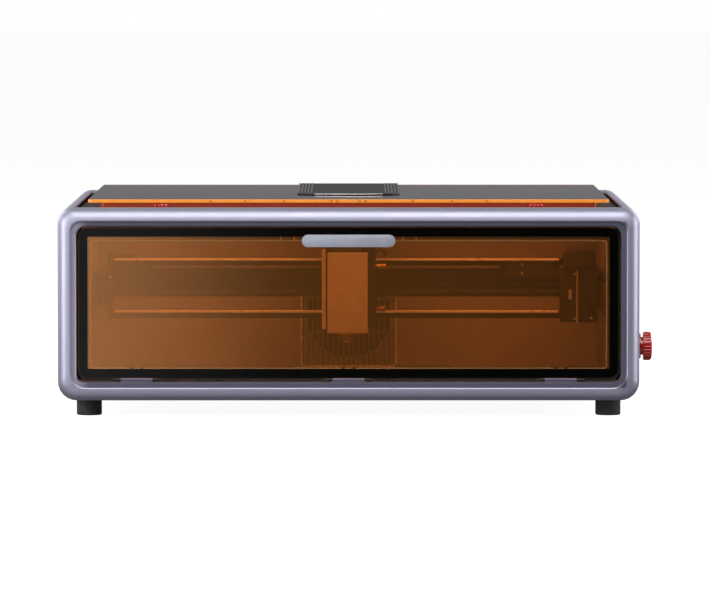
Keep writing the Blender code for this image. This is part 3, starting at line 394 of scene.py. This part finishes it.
def beaded_aluminium(name, first, second, rough=0.45):
    """Bead-blasted and anodised aluminium: a very fine even frost."""
    finish, shader = finish_with(name, Metallic=0.3)
    tinted(finish, shader, first, second, grain(finish, 12))
    roughened(finish, shader, grain(finish, 8), rough - 0.04, rough + 0.04)
    bumped(finish, shader, grain(finish, 0.5), 0.12, 0.04)
    return finish


def moulded_plastic(name, first, second):
    """Injection-moulded ABS with a fine spark-eroded texture."""
    finish, shader = finish_with(name, IOR=1.46)
    tinted(finish, shader, first, second, grain(finish, 14))
    roughened(finish, shader, grain(finish, 6), 0.45, 0.57)
    bumped(finish, shader, grain(finish, 0.7), 0.25, 0.05)
    return finish


def turned_metal(name, first, second, rough=0.28):
    """Turned metal: fine tool rings that catch thin bright lines."""
    finish, shader = finish_with(name, Metallic=1.0)
    tinted(finish, shader, first, second, grain(finish, 3))
    roughened(finish, shader, grain(finish, 1.5), rough - 0.06, rough + 0.1)
    bumped(finish, shader, grain(finish, 0.4, (1, 1, 6)), 0.15, 0.03)
    return finish


def rubber():
    """Moulded rubber foot: matt, slightly dusty."""
    finish, shader = finish_with("moulded_rubber", IOR=1.52)
    tinted(finish, shader, "262626", "333333", grain(finish, 6))
    roughened(finish, shader, grain(finish, 3), 0.7, 0.85)
    bumped(finish, shader, grain(finish, 0.6), 0.3, 0.06)
    return finish


TOOTH_PITCH = 2
WAVE_PERIOD = 6.2832 / 20


def toothed_rubber():
    """Timing belt of neoprene over glass cord: matt black with a tooth at every pitch."""
    finish, shader = finish_with("toothed_neoprene", IOR=1.5, Roughness=0.65)
    settings = {"bands_direction": "DIAGONAL", "Scale": per_mm(TOOTH_PITCH) * WAVE_PERIOD}
    teeth = add(finish, "ShaderNodeTexWave", settings, {"Vector": object_place(finish)})
    tinted(finish, shader, "101010", "232323", teeth.outputs["Fac"])
    bumped(finish, shader, teeth.outputs["Fac"], 0.6, 0.5)
    return finish


def glossy_plastic(name, first, second):
    """Polished injection moulding: deep colour under a clear bright gloss."""
    finish, shader = finish_with(name, IOR=1.49, Coat_Weight=0.6, Coat_Roughness=0.05)
    tinted(finish, shader, first, second, grain(finish, 9))
    roughened(finish, shader, grain(finish, 5), 0.12, 0.2)
    bumped(finish, shader, grain(finish, 4), 0.03, 0.05)
    return finish


def tinted_acrylic(name, level=0.5):
    """Cast acrylic dyed orange: clear and glossy, and it passes red far better than blue, so all that is
    behind it turns copper. For shadow rays it is a plain tinted filter, so the lamps reach inside."""
    finish, shader = finish_with(name, IOR=1.49, Transmission_Weight=1.0, Specular_IOR_Level=level)
    tinted(finish, shader, "F3BA83", "F1B780", grain(finish, 80))
    roughened(finish, shader, grain(finish, 60), 0.02, 0.04)
    lamp_way = add(finish, "ShaderNodeBsdfTransparent", {"Color": linear("F3BA83")})
    path = add(finish, "ShaderNodeLightPath")
    mix = add(finish, "ShaderNodeMixShader", None,
              {0: path.outputs["Is Shadow Ray"], 1: shader.outputs["BSDF"], 2: lamp_way.outputs["BSDF"]})
    out = next(node for node in finish.node_tree.nodes if node.type == "OUTPUT_MATERIAL")
    join(finish, mix.outputs["Shader"], out.inputs["Surface"])
    return finish


# Strengths of the painted glow on the door's sheet: at its right, at its left, and the extra at its left
# end.
PAINTED_GLOW_RIGHT = 0.014
PAINTED_GLOW_LEFT = 0.045
PAINTED_GLOW_LEFT_END = 0.075


def door_sheet_with_painted_glow():
    """The door's sheet is the same acrylic, with a painted glow: emission lays a faint brown light over
    it, strongest at its left end and thinning towards the right."""
    finish = tinted_acrylic("orange_door_acrylic_painted_glow", level=0.35)
    shader = finish.node_tree.nodes["Principled BSDF"]
    # Painted glow: emission rising towards the left, with more again near the left end.
    across = split(finish, object_place(finish))["X"]
    wide = ramp(finish, across, BEZEL_HIGH.x - 0.03, BEZEL_LOW.x, PAINTED_GLOW_RIGHT, PAINTED_GLOW_LEFT)
    near = eased(finish, across, MID_X - 0.05, BEZEL_LOW.x - 0.02, 0.0, PAINTED_GLOW_LEFT_END)
    join(finish, blended(finish, "ADD", wide, near), shader.inputs["Emission Strength"])
    shader.inputs["Emission Color"].default_value = linear("FFAE50")
    return finish


def glowing_edge(name, first, second, glow, strength):
    """The laser-cut edge of dyed acrylic, with a painted glow: emission stands in for the light that the
    whole sheet gathers and lets out there.
    """
    finish, shader = finish_with(name, IOR=1.49, Emission_Color=linear(glow), Emission_Strength=strength)
    tinted(finish, shader, first, second, grain(finish, 8))
    roughened(finish, shader, grain(finish, 2, (0.1, 1, 1)), 0.18, 0.3)
    bumped(finish, shader, grain(finish, 0.8, (1, 1, 0.1)), 0.1, 0.04)
    return finish


def printed_border():
    """Black screen print behind a polished face: near black, with the sheet's own gloss."""
    finish, shader = finish_with("black_screen_print", IOR=1.49, Specular_IOR_Level=0.3)
    tinted(finish, shader, "030303", "060605", grain(finish, 25))
    roughened(finish, shader, grain(finish, 60), 0.06, 0.1)
    return finish


def lens_glass():
    """Coated camera lens: a near-black well under a bright blue-tinged gloss."""
    finish, shader = finish_with("coated_lens_glass", IOR=1.6, Metallic=0.0, Coat_Weight=1.0)
    tinted(finish, shader, "06070D", "10122A", grain(finish, 5))
    roughened(finish, shader, grain(finish, 4), 0.02, 0.05)
    return finish


def light_strip():
    """Frosted plastic cover over white diodes: pale and evenly dull."""
    finish, shader = finish_with("frosted_light_cover", IOR=1.49)
    tinted(finish, shader, "D8D6D0", "ECEAE4", grain(finish, 10))
    roughened(finish, shader, grain(finish, 3), 0.4, 0.5)
    return finish


PAINT = silver_paint()
LINER = powder_coat("grey_liner_powder_coat", "7C7C7E", "848486", rough=0.6)
BLACK_COAT = powder_coat("black_powder_coat", "1C1C1E", "232326")
TRAY = extruded_aluminium("brushed_bed_steel", "565452", "6A6865", rough=0.42)
ACRYLIC = tinted_acrylic("orange_cast_acrylic")
# The lid sheet's cut edges: orange with a painted glow.
EDGE = glowing_edge("orange_acrylic_cut_edge", "E08A34", "D97F2A", "E88A2C", 0.28)
HANDLE = beaded_aluminium("beaded_grey_aluminium", "A2A6B3", "AAAEBA")
# Pale aluminium: its strips paint highlight lines on the beam, the lower bar and the camera cover's nose,
# and it also rims the exhaust grille.
PALE_METAL_AND_PAINTED_HIGHLIGHT = beaded_aluminium("pale_aluminium_and_painted_highlight", "DCDCDE", "E6E6E8", rough=0.3)
GRILLE = powder_coat("dark_grille_coat", "58585A", "606062", rough=0.6)
BLACK_PLASTIC = moulded_plastic("black_moulded_abs", "1E1E20", "252527")
DARK_ALUMINIUM = extruded_aluminium("black_anodised_extrusion", "2C2B2A", "343332")
COVER = beaded_aluminium("satin_head_cover", "A5A3A6", "AEACAE", rough=0.5)
MOTOR = powder_coat("black_motor_enamel", "1A1A1C", "222224", rough=0.45)
STEEL = turned_metal("bright_turned_steel", "B0B0B2", "C4C4C6")
DARK_STEEL = turned_metal("blackened_steel", "2A2A2C", "3A3A3D", rough=0.35)
BRASS = turned_metal("turned_brass", "C4943F", "D7AC5C")
RUBBER = rubber()
BELT = toothed_rubber()
RED = glossy_plastic("polished_red_abs", "B8140A", "CF2414")
PRINT = printed_border()
DOOR_SHEET = door_sheet_with_painted_glow()
# The lid's acrylic skirt with painted shade and a painted glow: a dark red-brown for the shade under the
# lid's front edge, and a red-orange emission.
SKIRT_SHADE_AND_GLOW = glowing_edge("lid_skirt_painted_shade_and_glow", "7A2606", "702204", "8A2600", 0.35)
# A dark pad for the painted shade in the duct behind the exhaust grille.
SHADE_PAD_COAT = powder_coat("dark_pad_painted_shade", "3A3A3C", "444446", rough=0.9, size=1.4)
LENS = lens_glass()
FROST = light_strip()

SLOT_FINISH = {"case": PAINT, "liner": LINER, "black_coat": BLACK_COAT, "tray": TRAY, "acrylic": ACRYLIC,
               "handle": HANDLE, "black_plastic": BLACK_PLASTIC, "rubber": RUBBER, "motor": MOTOR,
               "dark_aluminium": DARK_ALUMINIUM, "cover": COVER, "steel": STEEL, "brass": BRASS,
               "belt": BELT, "red": RED}
NODE_FINISH = {"exhaust_grille": GRILLE, "lid_skirt": SKIRT_SHADE_AND_GLOW, "door_frame": BLACK_COAT,
               "door_hinge_pin": DARK_STEEL}
ROUND_NODES = ("front_bezel", "rear_frame", "left_side_shell", "right_side_shell", "door_handle",
               "estop_cap", "estop_collar", "exhaust_collar", "laser_nozzle", "focus_knob",
               "y_cross_shaft", "x_drive_pulley", "x_idler_pulley", "door_frame", "exhaust_fan_frame",
               "head_fan_frame", "exhaust_fan_rotor", "head_fan_rotor", "estop_plunger",
               "door_hinge_pin")


def smoothed(solid):
    """Welds a carried-over part's loose triangles and shades its curves smooth, its creases sharp."""
    solid.modifiers.new("weld", "WELD").merge_threshold = CAD_DOUBLES
    solid.modifiers.new("creases", "EDGE_SPLIT").split_angle = CREASE_ANGLE
    solid.data.polygons.foreach_set("use_smooth", [True] * len(solid.data.polygons))


def finish_the_frame():
    """Every carried-over part takes its own finish, or else the finish of its slot."""
    slots = {part["node"]: part["material_slot"] for part in frame["record"]["subparts"]}
    for node, solid in frame["nodes"].items():
        solid.data.materials.clear()
        solid.data.materials.append(NODE_FINISH.get(node, SLOT_FINISH[slots[node]]))
        if node in ROUND_NODES:
            smoothed(solid)


# ---------------------------------------------------------------- door

PANE_CORNER = 9
BORDER_WIDTH = 8.6
BORDER_DEPTH = 0.16
BORDER_GAP = 0.01
LIP_INSET = 24
LIP_WIDTH = 1.3
LIP_BACK = 2.6
FRAME_BACK = 10.05
CATCH_PLACES = (-66, -53, 53, 66)
CATCH_HEIGHTS = (172.5, 176.2)
CATCH_BACK = 10.9
HINGE_PLACES = (-207, 0, 207)
HINGE_HEIGHTS = (44.6, 49.2)
HINGE_BACK = 10.5
DOOR_SCREW = [(0, 0), (0, 1.0), (0.5, 1.5), (0.9, 1.5), (0.9, 0)]


def door_pane():
    """The door's clear sheet and the black border printed on its face."""
    low, high = span("door_panel")
    middle = (low + high) / 2
    size = high - low
    shape = plate(size.x, size.z, size.y, PANE_CORNER, "Y", middle, edge=0.4)
    pane = piece("door_pane", shape, DOOR_SHEET, "door")
    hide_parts("door_panel")
    face = (middle.x, low.y - BORDER_DEPTH / 2 - BORDER_GAP, middle.z)
    border = ring(size.x - 0.2, size.z - 0.2, BORDER_WIDTH, BORDER_DEPTH, PANE_CORNER - 0.1, "Y", face,
                  edge=0)
    piece("door_border", border, PRINT, "door")


def door_fittings():
    """The inner lip of the frame, a thin line behind the pane, and the fittings on the frame's back."""
    low, high = span("door_frame")
    middle = (low + high) / 2
    lip = ring(high.x - low.x - LIP_INSET, high.z - low.z - LIP_INSET, LIP_WIDTH, 0.8, 3.2, "Y",
               (middle.x, low.y + LIP_BACK, middle.z), edge=0.25)
    piece("door_frame_lip", lip, LINER, "door")
    bottom, top = CATCH_HEIGHTS
    pins = [block((x - 0.5, FRAME_BACK, bottom), (x + 0.5, CATCH_BACK, top), 0.2) for x in CATCH_PLACES]
    piece("door_catch_pins", pins, STEEL, "door")
    bottom, top = HINGE_HEIGHTS
    plates = [block((x - 10, FRAME_BACK, bottom), (x + 10, HINGE_BACK, top), 0.15) for x in HINGE_PLACES]
    piece("door_hinge_plates", plates, BLACK_COAT, "door")
    screws = [turned(DOOR_SCREW, "Y", (x + side * 5, 10.1, (bottom + top) / 2), 12)
              for x in HINGE_PLACES for side in SIDES]
    piece("door_hinge_screws", screws, DARK_STEEL, "door")


# ---------------------------------------------------------------- lid

FLAT_FACE = 0.9
BUMPER = [(0, 0), (0, 1.3), (0.6, 1.7), (2.6, 1.7), (3.2, 1.3), (3.2, 0)]
BUMPER_X = 183.5
BUMPER_PITCH = 3.4
BUMPER_Y = 29.6
BUMPER_Z = 203.6
EDGE_PIN = [(-0.2, 0), (-0.2, 0.7), (0.6, 0.7), (0.6, 0)]
EDGE_PIN_PLACES = (135, 101, 63, 16.6, 11.1)
RIB_X = 50
RIB_PITCH = 3.2
RIB_FRONT = 152
RIB_REAR = 411
LIP_REACH = 51
LIP_TURN = 60
LENS_CENTRE = (0, 290, 191.9)
LENS_BOWL = [(0, 0), (0, 6.0), (0.6, 6.4), (1.4, 6.0), (0.8, 0)]
LENS_RING = [(0, 6.3), (0, 8.2), (1.2, 8.2), (1.2, 6.3), (0, 6.3)]


def lid_pane():
    """The lid's clear sheet, with its four cut edges in a finish of their own."""
    low, high = span("lid_sheet")
    size = high - low
    shape = rounded_face(size.x, size.y, 4, 4)
    thickened(shape, size.z)
    bevel(shape, rim_edges(shape), 0.7, 3)
    stand_up(shape, "Z", (low + high) / 2)
    pane = piece("lid_pane", shape, ACRYLIC, "lid")
    pane.data.materials.append(EDGE)
    for face in pane.data.polygons:
        if abs(face.normal.z) < FLAT_FACE:
            face.material_index = 1
    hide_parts("lid_sheet")


def lid_trim():
    """Two groups of four red bumpers and a row of small pins along the lid's front edge."""
    across = [side * BUMPER_X + (count - 1.5) * BUMPER_PITCH for side in SIDES for count in range(4)]
    bumpers = [turned(BUMPER, "Z", (x, BUMPER_Y, BUMPER_Z), 12) for x in across]
    piece("lid_bumpers", bumpers, RED, "lid")
    low, high = span("lid_sheet")
    pins = [turned(EDGE_PIN, "Y", (side * x, low.y, high.z - 1.6), 10)
            for x in EDGE_PIN_PLACES for side in SIDES]
    piece("lid_edge_pins", pins, DARK_STEEL, "lid")


def camera_trim():
    """Ribs down both sides of the camera's cover, a pale tube round its nose that paints the highlight on
    its lip, and the lens beneath.
    """
    low, high = span("camera_housing")
    ribs = []
    for side in SIDES:
        for count in range(5):
            x = side * (RIB_X - count * RIB_PITCH)
            ribs.append(block((x - 0.7, RIB_FRONT, high.z - 0.2), (x + 0.7, RIB_REAR, high.z + 0.5), 0.2))
    piece("camera_cover_ribs", ribs, GRILLE, "lid")
    # Painted highlight: a pale tube along the curved nose of the cover.
    lip = []
    for turn in range(-35, 36, 7):
        across = LIP_REACH * math.sin(math.radians(turn)) / math.sin(math.radians(LIP_TURN))
        lip.append((across, low.y + 20 * (turn / LIP_TURN) ** 2 - 0.2, high.z - 0.2))
    tube("camera_cover_lip_highlight", lip, 0.45, PALE_METAL_AND_PAINTED_HIGHLIGHT, "lid")
    piece("camera_lens", turned(LENS_BOWL, "Z", LENS_CENTRE, 28), LENS, "lid")
    piece("camera_lens_ring", turned(LENS_RING, "Z", LENS_CENTRE, 28), DARK_STEEL, "lid")


# ---------------------------------------------------------------- gantry and laser head

BRACKET_SCREW = [(0, 0), (0, 1.5), (0.8, 1.5), (1.3, 1.0), (1.3, 0)]
BRACKET_SCREWS = ((175, 211.8, 138.5), (175, 211.8, 129.5), (-240.7, 203, 126), (-240.7, 203, 118),
                  (228, 211.8, 129), (228, 211.8, 84), (245, 211.8, 129), (245, 211.8, 84))
GROOVE = (134.8, 137.6)
FLANGE = ((229.6, 209.4, 80), (231.4, 211.9, 133))
FLANGE_TAB = ((222, 210.2, 103), (225.2, 211.9, 113))
SIDE_STRIP = ((-26.8, 165.2, 76), (-22.8, 168.2, 156.2))
HOSE_KNOTS = [(24, 176, 143), (27, 174, 151), (31, 173, 155), (35, 173, 153.5), (37, 173, 149)]
FITTING_PLACE = (0, 184, 138.5)
AIR_FITTING = [(27.2, 0), (27.2, 2.2), (30.4, 2.2), (30.4, 3.1), (37.4, 3.1), (37.6, 2.6), (37.6, 0)]


def gantry_trim():
    """Pale strips that paint the highlight lines along the top edges of the beam and the lower bar, a
    scale in the groove, and the brackets' screws.
    """
    low, high = span("gantry_beam")
    # Painted highlights: pale strips along the top edge of the beam and of the lower bar.
    upper = block((low.x + 1, low.y - 0.2, high.z - 1.6), (high.x - 1, low.y + 2, high.z + 0.8), 0.7, 3)
    piece("beam_top_painted_highlight", upper, PALE_METAL_AND_PAINTED_HIGHLIGHT, "gantry")
    bar_low, bar_high = span("gantry_lower_bar")
    lower = block((bar_low.x + 1, bar_low.y - 0.8, bar_high.z - 2.6),
                  (bar_high.x - 4, bar_low.y + 1, bar_high.z + 0.2), 0.7, 3)
    piece("lower_bar_painted_highlight", lower, PALE_METAL_AND_PAINTED_HIGHLIGHT, "gantry")
    scale = block((low.x + 40, low.y + 1.2, GROOVE[0]), (high.x - 60, low.y + 2.2, GROOVE[1]), 0.3)
    piece("beam_groove_scale", scale, GRILLE, "gantry")
    screws = [turned(BRACKET_SCREW, "Y", place, 12) for place in BRACKET_SCREWS]
    piece("bracket_screws", screws, STEEL, "gantry")
    flange = [block(*FLANGE), block(*FLANGE_TAB)]
    piece("right_bracket_flange", flange, HANDLE, "gantry")


def head_trim():
    """A side strip on the laser's cover, and the air fitting with the stub of its hose."""
    piece("head_side_strip", block(*SIDE_STRIP, 0.5), COVER, "carriage")
    tube("air_hose", HOSE_KNOTS, 1.6, BLACK_PLASTIC, "carriage")
    piece("air_fitting", turned(AIR_FITTING, "X", FITTING_PLACE, 16), BRASS, "carriage")


# ---------------------------------------------------------------- exhaust and back

PAD_Y = 440.6
SHADE_PAD_PROFILE = [(-1.6, 0), (-1.6, 43.6), (1.6, 43.6), (1.6, 0)]
GUARD_RINGS = (12, 22, 32, 42)
GUARD_Y = 470
GUARD_WIRE = 0.8
SPOKE_Y = 471.4
SPOKE_WIRE = 0.9
SPOKE_LENGTH = 87
PANEL_SCREW = [(0, 0), (0, 3.0), (-0.9, 2.6), (-1.5, 1.4), (-1.5, 0)]
INLET_SCREW = [(0, 0), (0, 2.6), (-0.8, 2.2), (-1.2, 0)]
INLET_PINS = ((-7, -1.4), (0, 2.2), (7, -1.4))
PIN_FRONT = 456
PIN_BACK = 468
LOUVRES = ((-175, 44), (85, 38))
LOUVRE_ROWS = 8
LOUVRE_PITCH = 10
LOUVRE_BOTTOM = 56


def exhaust_trim():
    """A pale rim round the inner grille, and a dark pad behind the grille that paints the shade of the
    duct.
    """
    low, high = span("exhaust_grille")
    middle = (low + high) / 2
    rim = ring(high.x - low.x, high.z - low.z, 1.5, 1.4, 4, "Y", (middle.x, low.y - 0.5, middle.z),
               edge=0.4)
    piece("grille_rim", rim, PALE_METAL_AND_PAINTED_HIGHLIGHT, "case")
    # Painted shade: a dark disc behind the grille.
    pad = turned(SHADE_PAD_PROFILE, "Y", (0, PAD_Y, middle.z), 40)
    piece("exhaust_shade_pad", pad, SHADE_PAD_COAT, "case")


def rear_guard():
    """A wire guard of rings and spokes inside the hose collar."""
    low, high = span("exhaust_collar")
    middle = (low + high) / 2
    wires = []
    for radius in GUARD_RINGS:
        arc = [(math.cos(math.radians(turn)) * GUARD_WIRE,
                radius + math.sin(math.radians(turn)) * GUARD_WIRE) for turn in range(0, 361, 60)]
        wires.append(turned(arc, "Y", (middle.x, GUARD_Y, middle.z), 40))
    for turn in (45, 135):
        spoke = bmesh.new()
        bmesh.ops.create_cone(spoke, cap_ends=True, segments=8, radius1=SPOKE_WIRE * MM,
                              radius2=SPOKE_WIRE * MM, depth=SPOKE_LENGTH * MM)
        bmesh.ops.rotate(spoke, cent=(0, 0, 0), matrix=Matrix.Rotation(math.radians(turn), 3, "Y"),
                         verts=spoke.verts)
        bmesh.ops.translate(spoke, vec=at(middle.x, SPOKE_Y, middle.z), verts=spoke.verts)
        wires.append(spoke)
    piece("exhaust_finger_guard", wires, STEEL, "case")


def rear_plates():
    """Screws round the two back plates, and louvres at both sides of the duct."""
    low, high = span("rear_duct_panel")
    far, top = span("rear_service_panel")
    across = (low.x + 9, -150, -60, 60, 112, far.x + 8, top.x - 9)
    heads = [turned(PANEL_SCREW, "Y", (x, high.y, z), 16) for x in across for z in (low.z + 8, high.z - 8)]
    piece("rear_panel_screws", heads, DARK_STEEL, "case")
    louvres = []
    for x, width in LOUVRES:
        for row in range(LOUVRE_ROWS):
            centre = (x, high.y + 0.6, LOUVRE_BOTTOM + row * LOUVRE_PITCH)
            louvres.append(plate(width, 4.2, 1.4, 2.0, "Y", centre, edge=0.5))
    piece("rear_louvres", louvres, BLACK_COAT, "case")


def power_fittings():
    """The mains inlet's three pins and two screws, and a surround for the rocker."""
    low, high = span("power_inlet")
    middle = (low + high) / 2
    pins = [block((middle.x + x - 1, PIN_FRONT, middle.z + z - 2.6),
                  (middle.x + x + 1, PIN_BACK, middle.z + z + 2.6)) for x, z in INLET_PINS]
    piece("power_inlet_pins", pins, BRASS, "case")
    screws = [turned(INLET_SCREW, "Y", (middle.x + side * 19, high.y, middle.z), 16) for side in SIDES]
    piece("power_inlet_screws", screws, STEEL, "case")
    back = span("rear_duct_panel")[1].y
    rocker_low, rocker_high = span("power_rocker")
    centre = ((rocker_low.x + rocker_high.x) / 2, back + 0.8, (rocker_low.z + rocker_high.z) / 2)
    surround = ring(24, 29, 2.4, 1.6, 2, "Y", centre, 0.4)
    piece("power_rocker_frame", surround, BLACK_PLASTIC, "case")


LIGHT_HOUSING = ((-200, 25, 190.5), (200, 34, 196.9))
LIGHT_COVER = ((-194, 26.8, 189.6), (194, 32.2, 190.8))


def light_bar():
    """The work light across the chamber's front, above the door: a housing and its frosted cover."""
    piece("work_light_housing", block(*LIGHT_HOUSING, 0.6), BLACK_COAT, "case")
    piece("work_light_cover", block(*LIGHT_COVER), FROST, "case")


# ---------------------------------------------------------------- stop button

KNURLS = 24
KNURL_RADIUS = 1.1
KNURL_LENGTH = 6.4
KNURL_SINK = 0.4
KNURL_BACK = 4.6


def stop_knurls():
    """Grip ribs round the stop button's cap, short enough to clear the collar when it is pushed."""
    low, high = span("estop_cap")
    centre = (low + high) / 2
    radius = (high.z - low.z) / 2
    ribs = []
    for count in range(KNURLS):
        shape = bmesh.new()
        bmesh.ops.create_cone(shape, cap_ends=True, cap_tris=False, segments=8, radius1=KNURL_RADIUS * MM,
                              radius2=KNURL_RADIUS * MM, depth=KNURL_LENGTH * MM)
        bmesh.ops.translate(shape, vec=((radius - KNURL_SINK) * MM, 0, 0), verts=shape.verts)
        turn = Matrix.Rotation(2 * math.pi * count / KNURLS, 3, "Z")
        bmesh.ops.rotate(shape, cent=(0, 0, 0), matrix=turn, verts=shape.verts)
        ribs.append(stand_up(shape, "X", (high.x - KNURL_BACK, centre.y, centre.z)))
    piece("stop_cap_knurls", ribs, RED, "stop_cap")


# ---------------------------------------------------------------- studio

OBJECT_MIDDLE = (0, 0, 0.1)
FLOOR_DROP = 0.0002
FLOOR_HALF = 30
ROOM_FRONT = 0.02
ROOM_BACK = 0.2
PANEL_LEVEL = 0.7
GROUND_LEVEL = 0.3
ROOM_TINT = (0.94, 0.95, 1.0, 1)
WHITE = (1, 1, 1, 1)
CAMERA_LENS = 308.3
CAMERA_AWAY = 5.912
CAMERA_HEIGHT = 0.450
CAMERA_TILT = 3.247
CAMERA_TURN = 0.0603


def soft_light(name, place, target, width, height, power):
    """A rectangular lamp aimed at a place, with its size in metres and its power in watts."""
    lamp = bpy.data.lights.new(name, "AREA")
    lamp.shape = "RECTANGLE"
    lamp.size = width
    lamp.size_y = height
    lamp.energy = power
    holder = bpy.data.objects.new(name, lamp)
    holder.location = place
    holder.rotation_euler = (Vector(target) - holder.location).to_track_quat("-Z", "Y").to_euler()
    bpy.context.scene.collection.objects.link(holder)


def lamps():
    """A low lamp close by at the left, soft ones at the right and above, and two large ones behind."""
    soft_light("left_light", (-1.35, -0.92, 0.35), (-0.2, -0.2, 0.1), 0.6, 0.9, 12.5)
    soft_light("right_light", (2.7, -0.55, 0.5), OBJECT_MIDDLE, 1.1, 1.6, 36)
    soft_light("top_light", (0, -1.9, 2.4), OBJECT_MIDDLE, 2.6, 2.2, 76)
    soft_light("rear_left_light", (-2.6, 1.9, 1.5), OBJECT_MIDDLE, 2.8, 2.8, 70)
    soft_light("rear_right_light", (2.4, 2.3, 1.6), OBJECT_MIDDLE, 2.4, 2.4, 56)


def floor():
    """A plain pale floor just under the feet, which lights nothing and shows in no reflection."""
    shape = bmesh.new()
    bmesh.ops.create_grid(shape, x_segments=1, y_segments=1, size=FLOOR_HALF)
    mesh = bpy.data.meshes.new("floor")
    shape.to_mesh(mesh)
    shape.free()
    ground = bpy.data.objects.new("floor", mesh)
    ground.location = (0, 0, -FLOOR_DROP)
    bpy.context.scene.collection.objects.link(ground)
    pale, shader = finish_with("pale_floor", Roughness=0.9, Emission_Color=linear("FFFFFF"),
                               Emission_Strength=0.92)
    tinted(pale, shader, "A8A8A8", "AAAAAA", grain(pale, 400))
    mesh.materials.append(pale)
    ground.visible_glossy = False
    ground.visible_diffuse = False
    ground.visible_transmission = False


def room_light():
    """A dim grey studio: dark in front, a soft panel at the front left, a pale floor ahead, grey behind.
    The camera itself sees plain white."""
    world = bpy.data.worlds.new("studio")
    bpy.context.scene.world = world
    world.use_nodes = True
    way = split(world, add(world, "ShaderNodeTexCoord").outputs["Generated"])
    back = eased(world, way["Y"], -0.2, 0.6, ROOM_FRONT, ROOM_BACK)
    panel = blended(world, "MULTIPLY", eased(world, way["X"], -0.005, -0.055, 0, PANEL_LEVEL),
                    eased(world, way["Y"], -0.6, -0.9))
    ground = blended(world, "MULTIPLY", eased(world, way["Z"], -0.2, -0.6, 0, GROUND_LEVEL),
                     eased(world, way["Y"], 0.1, -0.4))
    level = blended(world, "ADD", back, blended(world, "ADD", panel, ground))
    room = world.node_tree.nodes["Background"]
    room.inputs["Color"].default_value = ROOM_TINT
    join(world, level, room.inputs["Strength"])
    backdrop = add(world, "ShaderNodeBackground", {"Color": WHITE})
    path = add(world, "ShaderNodeLightPath")
    mix = add(world, "ShaderNodeMixShader", None,
              {0: path.outputs["Is Camera Ray"], 1: room.outputs[0], 2: backdrop.outputs[0]})
    join(world, mix.outputs[0], world.node_tree.nodes["World Output"].inputs["Surface"])
    bpy.context.scene.view_settings.view_transform = "Standard"


def camera():
    """A long lens a little above the top, looking slightly down at the front."""
    lens = bpy.data.cameras.new("camera")
    lens.lens = CAMERA_LENS
    lens.sensor_width = 36
    lens.clip_end = 200
    holder = bpy.data.objects.new("camera", lens)
    holder.location = (MID_X, FRONT_Y - CAMERA_AWAY, CAMERA_HEIGHT)
    holder.rotation_euler = (math.radians(90 - CAMERA_TILT), 0, math.radians(-CAMERA_TURN))
    bpy.context.scene.collection.objects.link(holder)
    bpy.context.scene.camera = holder


finish_the_frame()
door_pane()
door_fittings()
lid_pane()
lid_trim()
camera_trim()
gantry_trim()
head_trim()
exhaust_trim()
rear_guard()
rear_plates()
power_fittings()
light_bar()
stop_knurls()
floor()
room_light()
lamps()
camera()
